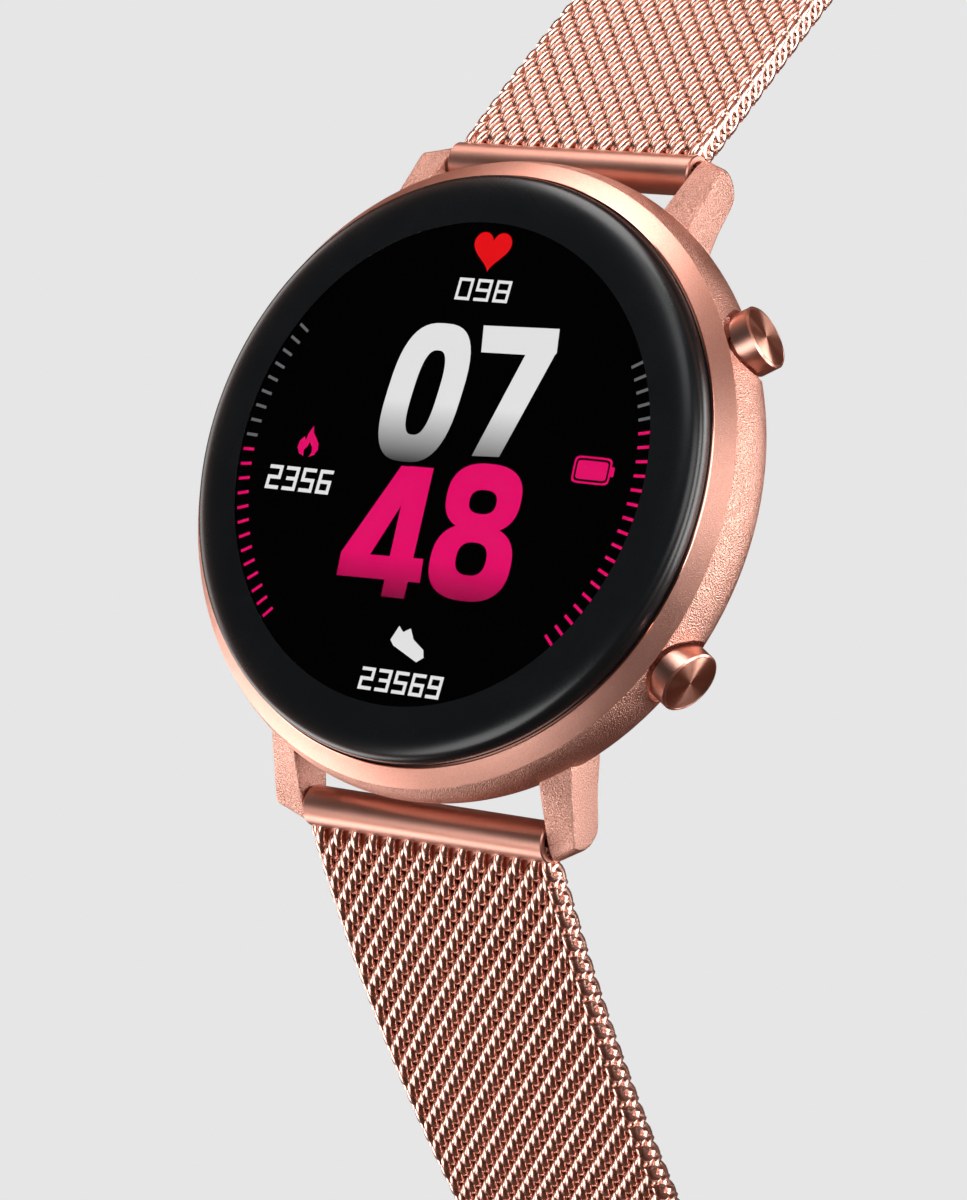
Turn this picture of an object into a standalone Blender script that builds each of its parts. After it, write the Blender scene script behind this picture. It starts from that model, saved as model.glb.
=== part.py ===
"""Round smartwatch on a woven steel mesh band, as the separate parts it is assembled from.

Run with: blender --background --python part.py
Units are metres. +Z points up through the display, +X is three o'clock, +Y is twelve o'clock.
The origin is the centre of the flat sensor window on the back of the case.
"""

import math

import bmesh
import bpy
from mathutils import Matrix, Vector

MM = 0.001

# ---- Driving dimensions -------------------------------------------------------------------------
GAP = 0.08 * MM                  # running and seating gap between neighbouring parts
DISPLAY_Z = 12.0 * MM            # flat top of the cover glass above the sensor window

# Barrel: a round-sided ring. Its side is two arcs that share a tangent.
SIDE_ARC_R = 3.45 * MM           # upper side arc, largest at its centre height
SIDE_CENTRE = (18.27 * MM, 7.6 * MM)
SIDE_TURN = 37.7                 # degrees below level where the second arc takes over
UNDER_ARC_R = 8.5 * MM           # flatter arc that runs in under the case
UNDER_END = 70.0                 # degrees below level where it meets the case back
CASE_TOP_Z = 9.4 * MM
CASE_FLOOR_Z = 2.7 * MM          # seat of the case back
CASE_STEPS = 64
FRONT_STEPS = 48

CAVITY_R = 18.6 * MM             # room for the electronics
FRAME_SEAT_R = 19.78 * MM        # rebate for the bezel frame
FRAME_SEAT_Z = 8.9 * MM
FLANGE_R = 13.6 * MM             # inner edge of the flange that the back screws bite into
FLANGE_TOP_Z = 4.2 * MM

BEZEL_R = 19.70 * MM             # outer edge of the glossy ring
BEZEL_EDGE_Z = 10.46 * MM
GLASS_R = 16.40 * MM
BEZEL_ROUND = 3.2                # exponent of the ring's rounded shoulder

# Side buttons
BUTTON_ANGLES = {"upper": 29.7, "lower": -30.3}   # degrees from three o'clock
BUTTON_Z = 7.1 * MM
BUTTON_R = 2.175 * MM
BUTTON_FACE = 22.85 * MM         # distance of the cap's face from the case axis
BUTTON_RECESS_R = 2.45 * MM
BUTTON_RECESS_FLOOR = 20.7 * MM
STEM_R = 0.9 * MM

# Lugs and strap fixing
LUG_GAP = 20.0 * MM              # nominal strap size
LUG_THICK = 2.3 * MM
PIVOT_Y = 22.56 * MM             # spring bar axis
PIVOT_Z = 3.85 * MM
END_TUBE_R = 1.375 * MM
END_TUBE_BORE = 0.95 * MM
STRAP_HALF = 9.8 * MM            # half the width of the mesh
STRAP_THICK = 1.9 * MM
SEGMENT_GAP = 0.5 * MM

# Each strap is a path that leaves its spring bar and bends down. Angles are degrees below level.
STRAPS = {
    "upper": {
        "side": 1.0, "start": 33.0, "bends": ((20.0 * MM, 100.0), (72.0 * MM, 850.0)),
        "joints": (2.9 * MM, 16.4 * MM, 30.0 * MM, 43.5 * MM, 57.0 * MM), "end": 72.0 * MM,
    },
    "lower": {
        "side": -1.0, "start": 44.0, "bends": ((60.0 * MM, 326.0), (86.0 * MM, 700.0)),
        "joints": (3.0 * MM, 16.0 * MM, 29.0 * MM, 42.0 * MM, 56.0 * MM, 70.0 * MM, 86.0 * MM),
        "end": 116.0 * MM,
    },
}
PATH_STEP = 0.25 * MM

# Clasp, which slides on the straight end of the lower strap
CLASP_START = 98.0 * MM
CLASP_LENGTH = 13.0 * MM
CLASP_HALF = 11.0 * MM
CHANNEL_HALF = (9.95 * MM, 1.25 * MM)
COVER_PIN_S = 104.0 * MM
FLAP_PIN_S = 110.0 * MM
CLASP_PIN_N = 2.95 * MM
CLASP_PIN_R = 0.40 * MM

ROSE = (0.72, 0.37, 0.27, 1.0)
FINISHES = {
    "rose_satin": (ROSE, 0.32, 1.0),
    "rose_blasted": ((0.66, 0.32, 0.23, 1.0), 0.45, 1.0),
    "rose_mesh": ((0.70, 0.36, 0.27, 1.0), 0.25, 1.0),
    "black_gloss": ((0.012, 0.014, 0.016, 1.0), 0.12, 0.0),
    "black_plastic": ((0.03, 0.03, 0.03, 1.0), 0.45, 0.0),
    "glass": ((0.02, 0.02, 0.02, 1.0), 0.03, 0.0),
    "display": ((0.01, 0.01, 0.01, 1.0), 0.20, 0.0),
    "board": ((0.02, 0.12, 0.07, 1.0), 0.40, 0.0),
    "foil": ((0.55, 0.56, 0.58, 1.0), 0.35, 0.6),
    "steel": ((0.60, 0.60, 0.60, 1.0), 0.25, 1.0),
    "gold": ((0.85, 0.62, 0.25, 1.0), 0.25, 1.0),
    "rubber": ((0.02, 0.02, 0.02, 1.0), 0.70, 0.0),
}


# ---- Scene helpers ------------------------------------------------------------------------------
def clear_scene():
    """Empties the scene, so that the script gives the same result wherever it is run."""
    for obj in list(bpy.data.objects):
        bpy.data.objects.remove(obj, do_unlink=True)


def make_collection(name):
    """Adds a collection to the scene."""
    made = bpy.data.collections.new(name)
    bpy.context.scene.collection.children.link(made)
    return made


clear_scene()
PARTS = make_collection("smartwatch")
CUTTERS = make_collection("cutters")
WORLD = {"": Matrix.Identity(4)}          # world matrix of each pivot, by name
PIVOTS = {}


def finish_material(name):
    """Returns the material of a finish, made on first use."""
    material = bpy.data.materials.get(name)
    if material is None:
        colour, roughness, metallic = FINISHES[name]
        material = bpy.data.materials.new(name)
        material.use_nodes = True
        shader = material.node_tree.nodes["Principled BSDF"]
        shader.inputs["Base Color"].default_value = colour
        shader.inputs["Roughness"].default_value = roughness
        shader.inputs["Metallic"].default_value = metallic
        material.diffuse_color = colour
    return material


def make_pivot(name, world, parent=""):
    """Adds an empty on a joint's axis. The pieces that the joint carries are its children."""
    empty = bpy.data.objects.new(name, None)
    empty.empty_display_size = 2.0 * MM
    PARTS.objects.link(empty)
    if parent:
        empty.parent = PIVOTS[parent]
    empty.matrix_basis = WORLD[parent].inverted() @ world
    WORLD[name] = world
    PIVOTS[name] = empty
    return name


def place(obj, pivot, local=None):
    """Hangs an object on a pivot, at a local matrix."""
    if pivot:
        obj.parent = PIVOTS[pivot]
    obj.matrix_basis = local if local is not None else Matrix.Identity(4)


def add_object(name, mesh, finish, pivot="", local=None):
    """Links a mesh as a part with its finish."""
    obj = bpy.data.objects.new(name, mesh)
    PARTS.objects.link(obj)
    mesh.materials.append(finish_material(finish))
    place(obj, pivot, local)
    return obj


def make_cutter(obj):
    """Turns an object into a hidden cutter."""
    for owner in list(obj.users_collection):
        owner.objects.unlink(obj)
    CUTTERS.objects.link(obj)
    obj.hide_render = True
    obj.display_type = "WIRE"
    return obj


def boolean(target, cutters, operation="DIFFERENCE"):
    """Cuts or joins each cutter into the target, in order."""
    for number, cutter in enumerate(cutters):
        make_cutter(cutter)
        modifier = target.modifiers.new(f"{operation.lower()}_{number}", "BOOLEAN")
        modifier.operation = operation
        modifier.solver = "EXACT"
        modifier.object = cutter
    return target


def round_edges(obj, width, segments=1, angle=40.0):
    """Bevels the sharp edges of a part."""
    modifier = obj.modifiers.new("rounded_edges", "BEVEL")
    modifier.width = width
    modifier.segments = segments
    modifier.limit_method = "ANGLE"
    modifier.angle_limit = math.radians(angle)
    return obj


# ---- Shape helpers ------------------------------------------------------------------------------
def turned(name, profile, steps, finish, pivot="", local=None, ring=False):
    """Turns a profile of (radius, height) points about Z. A ring's profile is closed."""
    mesh = bpy.data.meshes.new(name)
    points = [(r, 0.0, z) for r, z in profile]
    edges = [(i, i + 1) for i in range(len(points) - 1)]
    if ring:
        edges.append((len(points) - 1, 0))
    mesh.from_pydata(points, edges, [])
    obj = add_object(name, mesh, finish, pivot, local)
    screw = obj.modifiers.new("turned", "SCREW")
    screw.axis = "Z"
    screw.steps = steps
    screw.render_steps = steps
    screw.use_merge_vertices = True
    screw.merge_threshold = 0.00001
    screw.use_smooth_shade = True
    return obj


def rod(name, radius, low, high, steps, finish, pivot="", local=None):
    """A plain cylinder along local Z."""
    profile = [(0.0, high), (radius, high), (radius, low), (0.0, low)]
    return turned(name, profile, steps, finish, pivot, local)


def tube(name, outer, inner, low, high, steps, finish, pivot="", local=None):
    """A plain tube along local Z."""
    profile = [(inner, high), (outer, high), (outer, low), (inner, low)]
    return turned(name, profile, steps, finish, pivot, local, ring=True)


def block(name, low, high, finish, pivot="", local=None):
    """A box between two corners."""
    size = Vector(high) - Vector(low)
    middle = (Vector(high) + Vector(low)) / 2.0
    mesh = bpy.data.meshes.new(name)
    made = bmesh.new()
    bmesh.ops.create_cube(made, size=1.0)
    bmesh.ops.scale(made, vec=size, verts=made.verts)
    bmesh.ops.translate(made, vec=middle, verts=made.verts)
    made.to_mesh(mesh)
    made.free()
    return add_object(name, mesh, finish, pivot, local)


ALONG_X = Matrix(((0, 0, 1, 0), (1, 0, 0, 0), (0, 1, 0, 0), (0, 0, 0, 1)))


def side_plate(name, outline, low_x, high_x, finish, pivot="", local=None):
    """A flat outline of (y, z) points, given thickness along X."""
    curve = bpy.data.curves.new(name, "CURVE")
    curve.dimensions = "2D"
    curve.fill_mode = "BOTH"
    curve.extrude = (high_x - low_x) / 2.0
    spline = curve.splines.new("POLY")
    spline.points.add(len(outline) - 1)
    for point, (y, z) in zip(spline.points, outline):
        point.co = (y, z, 0.0, 1.0)
    spline.use_cyclic_u = True
    flat = bpy.data.objects.new(name + "_outline", curve)
    CUTTERS.objects.link(flat)
    graph = bpy.context.evaluated_depsgraph_get()
    mesh = bpy.data.meshes.new_from_object(flat.evaluated_get(graph))
    bpy.data.objects.remove(flat, do_unlink=True)
    bpy.data.curves.remove(curve)
    mesh.name = name
    mesh.materials.clear()
    made = bmesh.new()
    made.from_mesh(mesh)
    bmesh.ops.remove_doubles(made, verts=made.verts, dist=0.000001)
    bmesh.ops.translate(made, vec=(0.0, 0.0, (high_x + low_x) / 2.0), verts=made.verts)
    bmesh.ops.transform(made, matrix=ALONG_X, verts=made.verts)
    bmesh.ops.recalc_face_normals(made, faces=made.faces)
    made.to_mesh(mesh)
    made.free()
    return add_object(name, mesh, finish, pivot, local)


def arc(centre, radius, start, end, count):
    """Points on an arc in (radius, height). Angles are degrees above level."""
    points = []
    for i in range(count + 1):
        angle = math.radians(start + (end - start) * i / count)
        points.append((centre[0] + radius * math.cos(angle), centre[1] + radius * math.sin(angle)))
    return points


# ---- Strap path ---------------------------------------------------------------------------------
def strap_angle(strap, s):
    """Angle of the strap below level, in radians, at a distance s from its spring bar."""
    angle, start = strap["start"], 0.0
    for end, per_metre in strap["bends"]:
        angle += max(0.0, min(s, end) - start) * per_metre
        start = end
    return math.radians(angle)


def strap_point(strap, s):
    """Point (y, z) on the strap's centre line, by summing short steps along its angle."""
    y, z = PIVOT_Y, PIVOT_Z
    count = max(1, round(s / PATH_STEP))
    step = s / count
    for i in range(count):
        angle = strap_angle(strap, (i + 0.5) * step)
        y += step * math.cos(angle)
        z -= step * math.sin(angle)
    return strap["side"] * y, z


def strap_frame(strap, s):
    """Matrix with Y along the strap, away from the case, and Z out of its outer face."""
    side, angle = strap["side"], strap_angle(strap, s)
    y, z = strap_point(strap, s)
    along = Vector((0.0, side * math.cos(angle), -math.sin(angle)))
    outward = Vector((0.0, side * math.sin(angle), math.cos(angle)))
    across = along.cross(outward)
    matrix = Matrix((across, along, outward)).transposed().to_4x4()
    matrix.translation = Vector((0.0, y, z))
    return matrix


def segment_outline(strap, joint, start, end, stations):
    """Side view of a stretch of mesh, as (y, z) in the frame of its joint."""
    inverse = strap_frame(strap, joint).inverted()
    outer, inner = [], []
    for i in range(stations + 1):
        frame = inverse @ strap_frame(strap, start + (end - start) * i / stations)
        out = frame @ Vector((0.0, 0.0, STRAP_THICK / 2.0))
        back = frame @ Vector((0.0, 0.0, -STRAP_THICK / 2.0))
        outer.append((out.y, out.z))
        inner.append((back.y, back.z))
    return outer + inner[::-1]


# ---- Case ---------------------------------------------------------------------------------------
def barrel_profile():
    """Outer side of the barrel, from the middle of its top face to the middle of its floor."""
    top_angle = math.degrees(math.asin((CASE_TOP_Z - SIDE_CENTRE[1]) / SIDE_ARC_R))
    turn = math.radians(SIDE_TURN)
    shift = UNDER_ARC_R - SIDE_ARC_R
    under = (SIDE_CENTRE[0] - shift * math.cos(turn), SIDE_CENTRE[1] + shift * math.sin(turn))
    side = arc(SIDE_CENTRE, SIDE_ARC_R, top_angle, -SIDE_TURN, 6)
    lower = arc(under, UNDER_ARC_R, -SIDE_TURN, -UNDER_END, 3)[1:]
    return [(0.0, CASE_TOP_Z)] + side + lower + [(lower[-1][0], CASE_FLOOR_Z), (0.0, CASE_FLOOR_Z)]


def lug_outline():
    """Side view of a lug at twelve o'clock: a horn that drops from the barrel round the bar."""
    crown = [(15.4, 8.3), (17.6, 7.8), (19.0, 7.1), (21.1, 5.85), (22.6, 4.95)]
    tip = [(23.45, 4.2), (23.75, 3.6), (23.65, 3.0), (23.1, 2.6)]
    underside = [(22.3, 2.5), (21.3, 2.65), (18.8, 3.6), (15.4, 4.75)]
    return [(y * MM, z * MM) for y, z in reversed(crown + tip + underside)]


def button_axis(name):
    """Matrix whose Z runs out along a button, from the case axis."""
    turn = Matrix.Rotation(math.radians(BUTTON_ANGLES[name]), 4, "Z")
    lay_down = Matrix.Rotation(math.radians(90.0), 4, "Y")
    return Matrix.Translation((0.0, 0.0, BUTTON_Z)) @ turn @ lay_down


def bar_axis(side):
    """Matrix whose Z runs along a spring bar, towards three o'clock."""
    turn = Matrix.Rotation(math.radians(90.0), 4, "Y")
    return Matrix.Translation((0.0, side * PIVOT_Y, PIVOT_Z)) @ turn


SCREW_CIRCLE = 15.45 * MM
SCREW_ANGLES = (45.0, 135.0, 225.0, 315.0)


def screw_place(angle):
    """Matrix at a back screw, Z up."""
    turn = math.radians(angle)
    return Matrix.Translation((SCREW_CIRCLE * math.cos(turn), SCREW_CIRCLE * math.sin(turn), 0.0))


def make_case():
    """Barrel with four lugs, hollow, with its button bores, bar holes and screw holes."""
    case = turned("mid_case", barrel_profile(), CASE_STEPS, "rose_blasted")
    lugs = []
    outline = lug_outline()
    half = LUG_GAP / 2.0
    for side, strap in ((1.0, "upper"), (-1.0, "lower")):
        points = [(side * y, z) for y, z in outline]
        for edge, low, high in (("left", -half - LUG_THICK, -half), ("right", half, half + LUG_THICK)):
            lug = side_plate(f"lug_{strap}_{edge}", points, low, high, "rose_blasted")
            lugs.append(round_edges(lug, 0.35 * MM, 2, 50.0))
    boolean(case, lugs, "UNION")
    high = DISPLAY_Z + 1.0 * MM
    cavity = [(0.0, high), (FRAME_SEAT_R, high), (FRAME_SEAT_R, FRAME_SEAT_Z),
              (CAVITY_R, FRAME_SEAT_Z), (CAVITY_R, FLANGE_TOP_Z), (FLANGE_R, FLANGE_TOP_Z),
              (FLANGE_R, 1.0 * MM), (0.0, 1.0 * MM)]
    cuts = [turned("cavity_cut", cavity, CASE_STEPS, "steel")]
    for name in BUTTON_ANGLES:
        bore = [(0.0, 25.0 * MM), (BUTTON_RECESS_R, 25.0 * MM), (BUTTON_RECESS_R, BUTTON_RECESS_FLOOR),
                (1.6 * MM, BUTTON_RECESS_FLOOR), (1.6 * MM, 17.0 * MM), (0.0, 17.0 * MM)]
        cuts.append(turned(f"{name}_button_cut", bore, 28, "steel", "", button_axis(name)))
    for side, strap in ((1.0, "upper"), (-1.0, "lower")):
        reach = half + 1.4 * MM
        hole = rod(f"{strap}_bar_cut", 0.5 * MM, -reach, reach, 12, "steel", "", bar_axis(side))
        cuts.append(hole)
    for angle in SCREW_ANGLES:
        cuts.append(rod(f"screw_cut_{angle:.0f}", 0.56 * MM, 2.0 * MM, 4.6 * MM, 12, "steel", "",
                        screw_place(angle)))
    return boolean(case, cuts)


def make_front():
    """Bezel frame, glossy ring, cover glass, display and its carrier."""
    frame = [(19.78, 10.46), (20.55, 10.06), (21.18, 9.48), (19.70, 9.48), (19.70, 9.0),
             (18.95, 9.0), (18.95, 9.92), (19.78, 9.92)]
    turned("bezel_frame", scaled(frame), FRONT_STEPS, "rose_satin", ring=True)
    inner = GLASS_R + GAP
    shoulder = []
    for i in range(7):
        turn = math.radians(90.0 * i / 6.0)
        out = inner + (BEZEL_R - inner) * math.sin(turn) ** (2.0 / BEZEL_ROUND)
        up = BEZEL_EDGE_Z + (DISPLAY_Z - BEZEL_EDGE_Z) * max(0.0, math.cos(turn)) ** (2.0 / BEZEL_ROUND)
        shoulder.append((out, up))
    seat = [(BEZEL_R, 10.0 * MM), (15.9 * MM, 10.0 * MM), (15.9 * MM, 10.94 * MM), (inner, 10.94 * MM)]
    turned("bezel_ring", shoulder + seat, FRONT_STEPS, "black_gloss", ring=True)
    glass = [(0.0, DISPLAY_Z), (GLASS_R, DISPLAY_Z), (GLASS_R, 11.02 * MM), (0.0, 11.02 * MM)]
    turned("cover_glass", glass, FRONT_STEPS, "glass")
    rod("display_panel", 15.75 * MM, 10.08 * MM, 10.90 * MM, 40, "display")
    carrier = [(11.5, 9.98), (15.6, 9.98), (15.6, 9.2), (18.5, 9.2), (18.5, 8.75), (11.5, 8.75)]
    turned("display_carrier", scaled(carrier), 28, "black_plastic", ring=True)


def scaled(points):
    """Points given in millimetres."""
    return [tuple(value * MM for value in point) for point in points]


def make_electronics():
    """What the case holds: board, battery, vibration motor and the two button switches."""
    board = rod("main_board", 15.6 * MM, 7.3 * MM, 8.1 * MM, 36, "board")
    chips = [((-8.0, 1.0, 8.0), (-1.5, 7.5, 9.1)), ((1.0, 1.5, 8.0), (6.0, 6.5, 8.9)),
             ((-6.0, -8.0, 8.0), (6.5, -2.5, 9.3))]
    boolean(board, [block(f"chip_{i}", *scaled(pair), "board") for i, pair in enumerate(chips)], "UNION")
    battery = block("battery", *scaled(((-12.0, -7.5, 4.4), (12.0, 11.5, 6.9))), "foil")
    round_edges(battery, 0.8 * MM, 2)
    rod("vibration_motor", 3.6 * MM, 4.4 * MM, 6.8 * MM, 24, "steel", "",
        Matrix.Translation((0.0, -13.3 * MM, 0.0)))
    for name in BUTTON_ANGLES:
        low, high = scaled(((-0.9, -1.7, 15.75), (0.9, 1.7, 17.15)))
        block(f"{name}_switch", low, high, "black_plastic", "", button_axis(name))


def make_back():
    """Case back, gasket, sensor window and board, charging contacts and screws."""
    back = [(9.58, 2.62), (13.7, 2.62), (13.7, 2.2), (14.3, 2.2), (14.3, 2.62), (16.9, 2.62),
            (16.9, 1.3), (16.5, 0.9), (9.58, 0.9)]
    plate = turned("case_back", scaled(back), 40, "steel", ring=True)
    cuts = []
    for angle in SCREW_ANGLES:
        hole = [(0.0, 3.0), (0.56, 3.0), (0.56, 1.5), (0.88, 1.5), (0.88, 0.5), (0.0, 0.5)]
        cuts.append(turned(f"back_cut_{angle:.0f}", scaled(hole), 14, "steel", "", screw_place(angle)))
    for name, x in (("left", -2.3 * MM), ("right", 2.3 * MM)):
        spot = Matrix.Translation((x, -11.6 * MM, 0.0))
        cuts.append(rod(f"contact_cut_{name}", 0.95 * MM, 0.5 * MM, 3.0 * MM, 14, "steel", "", spot))
        pin = [(0.0, 3.3), (0.6, 3.3), (0.6, 2.0), (0.85, 2.0), (0.85, 0.84), (0.0, 0.84)]
        turned(f"charge_contact_{name}", scaled(pin), 14, "gold", "", spot)
    boolean(plate, cuts)
    tube("case_gasket", 14.22 * MM, 13.78 * MM, 2.28 * MM, 2.64 * MM, 28, "rubber")
    window = [(0.0, 0.9), (8.7, 0.9), (8.7, 3.1), (10.3, 3.1), (10.3, 2.7), (9.5, 2.7),
              (9.5, 0.8), (9.1, 0.35), (8.2, 0.08), (7.0, 0.0), (0.0, 0.0)]
    turned("sensor_window", scaled(window), 36, "black_gloss")
    board = rod("sensor_board", 8.3 * MM, 2.0 * MM, 2.6 * MM, 28, "board")
    parts = [((-1.5, -1.5, 1.3), (1.5, 1.5, 2.1)), ((-5.3, -0.8, 1.4), (-3.7, 0.8, 2.1)),
             ((3.7, -0.8, 1.4), (5.3, 0.8, 2.1))]
    boolean(board, [block(f"led_{i}", *scaled(pair), "board") for i, pair in enumerate(parts)], "UNION")
    for number, angle in enumerate(SCREW_ANGLES, 1):
        screw = [(0.0, 4.0), (0.48, 4.0), (0.48, 1.44), (0.8, 1.44), (0.8, 0.98), (0.0, 0.98)]
        turned(f"back_screw_{number}", scaled(screw), 14, "steel", "", screw_place(angle))


# ---- Buttons ------------------------------------------------------------------------------------
def make_buttons():
    """Round push buttons on stems, each in a sleeve and kept in by a clip."""
    for name in BUTTON_ANGLES:
        pivot = make_pivot(f"{name}_button_axis", button_axis(name))
        cap = [(0.0, BUTTON_FACE), (BUTTON_R - 0.12 * MM, BUTTON_FACE), (BUTTON_R, BUTTON_FACE - 0.12 * MM),
               (BUTTON_R, 21.35 * MM), (STEM_R, 21.35 * MM)]
        stem = [(0.9, 18.30), (0.66, 18.30), (0.66, 18.02), (0.9, 18.02), (0.9, 17.75), (0.0, 17.75)]
        turned(f"{name}_button", cap + scaled(stem), 28, "rose_satin", pivot)
        tube(f"{name}_button_clip", 1.5 * MM, 0.74 * MM, 18.06 * MM, 18.26 * MM, 14, "steel", pivot)
        tube(f"{name}_button_sleeve", 1.52 * MM, 1.0 * MM, 18.75 * MM, 20.6 * MM, 18, "steel", "",
             button_axis(name))


# ---- Straps -------------------------------------------------------------------------------------
def make_strap_end(name, strap):
    """End tube of a strap with its mesh clamp, and the spring bar inside it."""
    side = strap["side"]
    pivot = make_pivot(f"{name}_swing_axis", strap_frame(strap, 0.0))
    lie = Matrix.Rotation(math.radians(90.0 * side), 4, "Y")   # local Z to three o'clock
    half = LUG_GAP / 2.0 - 0.2 * MM
    body = rod(f"{name}_end_tube", END_TUBE_R, -half, half, 24, "rose_satin", pivot, lie)
    clamp = block(f"{name}_clamp", (-STRAP_HALF, 0.4 * MM, -0.95 * MM),
                  (STRAP_HALF, strap["joints"][0] - SEGMENT_GAP / 2.0, 0.95 * MM), "rose_satin", pivot)
    boolean(body, [clamp], "UNION")
    bore = rod(f"{name}_bore_cut", END_TUBE_BORE, -half - MM, half + MM, 20, "steel", pivot, lie)
    low, high = sorted((side * 7.1 * MM, side * 11.0 * MM))
    slot = block(f"{name}_slot_cut", (low, -0.65 * MM, -2.0 * MM), (high, 0.65 * MM, -0.2 * MM),
                 "steel", pivot)
    cut = body.modifiers.new("bore", "BOOLEAN")
    cut.object = make_cutter(bore)
    cut = body.modifiers.new("slot", "BOOLEAN")
    cut.object = make_cutter(slot)
    tube(f"{name}_spring_bar", 0.80 * MM, 0.48 * MM, -8.4 * MM, 7.0 * MM, 16, "steel", pivot, lie)
    rod(f"{name}_bar_pin_left", 0.40 * MM, -11.2 * MM, -6.0 * MM, 12, "steel", pivot, lie)
    release = make_pivot(f"{name}_release_axis", strap_frame(strap, 0.0), pivot)
    pin = rod(f"{name}_bar_pin_right", 0.40 * MM, 6.0 * MM, 11.2 * MM, 12, "steel", release, lie)
    knob = rod(f"{name}_knob", 0.38 * MM, -1.9 * MM, -0.1 * MM, 10, "steel", release,
               Matrix.Translation((side * 9.0 * MM, 0.0, 0.0)))
    boolean(pin, [knob], "UNION")
    return pivot


def make_strap_mesh(name, strap, pivot):
    """Stretches of mesh between the joints of a strap, each hung on the one before."""
    ends = strap["joints"][1:] + (strap["end"],)
    for number, (joint, end) in enumerate(zip(strap["joints"], ends), 1):
        pivot = make_pivot(f"{name}_flex_axis_{number}", strap_frame(strap, joint), pivot)
        start = joint + SEGMENT_GAP / 2.0
        stop = end if end == strap["end"] else end - SEGMENT_GAP / 2.0
        outline = segment_outline(strap, joint, start, stop, 4)
        side_plate(f"{name}_mesh_{number}", outline, -STRAP_HALF, STRAP_HALF, "rose_mesh", pivot)
    return pivot


def local_place(strap, s):
    """Matrix from the strap's last joint to a point further along it."""
    return strap_frame(strap, strap["joints"][-1]).inverted() @ strap_frame(strap, s)


def make_upper_tip(strap, pivot):
    """Loop at the end of the short strap, which the clasp's cover hooks."""
    here = local_place(strap, strap["end"])
    loop = block("upper_end_loop", *scaled(((-10.6, 0.1, -1.0), (10.6, 7.0, 1.0))), "rose_satin",
                 pivot, here)
    slot = block("loop_cut", *scaled(((-8.6, 2.4, -2.0), (8.6, 5.2, 2.0))), "steel", pivot, here)
    boolean(loop, [slot])
    round_edges(loop, 0.3 * MM, 1, 60.0)


def make_clasp(strap, pivot):
    """Clasp that slides on the long strap, with a locking flap and a hooked cover."""
    here = local_place(strap, CLASP_START)
    slide = make_pivot("clasp_slide_axis", WORLD[pivot] @ here, pivot)
    wide, high = CHANNEL_HALF
    top = 2.1 * MM
    body = block("clasp_body", (-CLASP_HALF, 0.0, -2.0 * MM), (CLASP_HALF, CLASP_LENGTH, top),
                 "rose_satin", slide)
    ears = []
    pins = {"cover": COVER_PIN_S - CLASP_START, "flap": FLAP_PIN_S - CLASP_START}
    for part, y in pins.items():
        for edge in (-1.0, 1.0):
            low, top_x = sorted((edge * 9.95 * MM, edge * CLASP_HALF))
            ears.append(block(f"{part}_ear_{edge:+.0f}", (low, y - 0.95 * MM, top - 0.3 * MM),
                              (top_x, y + 0.95 * MM, 3.85 * MM), "steel", slide))
    boolean(body, ears, "UNION")
    channel = block("channel_cut", (-wide, -MM, -high), (wide, CLASP_LENGTH + MM, high), "steel", slide)
    window = block("window_cut", (-6.6 * MM, pins["flap"] - 5.0 * MM, 0.0),
                   (6.6 * MM, pins["flap"] - 0.4 * MM, 3.0 * MM), "steel", slide)
    lie = Matrix.Rotation(math.radians(90.0), 4, "Y")
    cuts = [channel, window]
    for part, y in pins.items():
        axis = Matrix.Translation((0.0, y, CLASP_PIN_N)) @ lie
        cuts.append(rod(f"{part}_pin_cut", CLASP_PIN_R + GAP, -12.0 * MM, 12.0 * MM, 12, "steel",
                        slide, axis))
        rod(f"clasp_{part}_pin", CLASP_PIN_R, -CLASP_HALF, CLASP_HALF, 12, "steel", slide, axis)
    for number, cut in enumerate(cuts):
        modifier = body.modifiers.new(f"cut_{number}", "BOOLEAN")
        modifier.object = make_cutter(cut)
    make_clasp_leaf("cover", slide, pins["cover"], 13.5 * MM, None)
    make_clasp_leaf("flap", slide, pins["flap"], 5.0 * MM, 1.5 * MM)


def make_clasp_leaf(part, slide, y, length, nose):
    """A leaf of the clasp: knuckle round its pin, plate, and a lip or a pressing nose."""
    lie = Matrix.Rotation(math.radians(90.0), 4, "Y")
    world = WORLD[slide] @ Matrix.Translation((0.0, y, CLASP_PIN_N))
    pivot = make_pivot(f"clasp_{part}_axis", world, slide)
    half = 9.85 * MM
    leaf = rod(f"clasp_{part}", 0.78 * MM, -half, half, 16, "rose_satin", pivot, lie)
    joined = [block(f"{part}_plate", (-half, -length, -0.6 * MM), (half, -0.3 * MM, 0.2 * MM),
                    "steel", pivot)]
    if nose is None:
        joined.append(block(f"{part}_lip", (-8.2 * MM, -length, -1.75 * MM),
                            (8.2 * MM, -length + 0.8 * MM, 0.0), "steel", pivot))
    else:
        joined.append(block(f"{part}_nose", (-6.3 * MM, -length + 0.6 * MM, -1.78 * MM),
                            (6.3 * MM, -nose, 0.0), "steel", pivot))
    boolean(leaf, joined, "UNION")
    cut = leaf.modifiers.new("pin_hole", "BOOLEAN")
    cut.object = make_cutter(rod(f"{part}_hole_cut", CLASP_PIN_R + GAP, -half - MM, half + MM, 12,
                                 "steel", pivot, lie))


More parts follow.
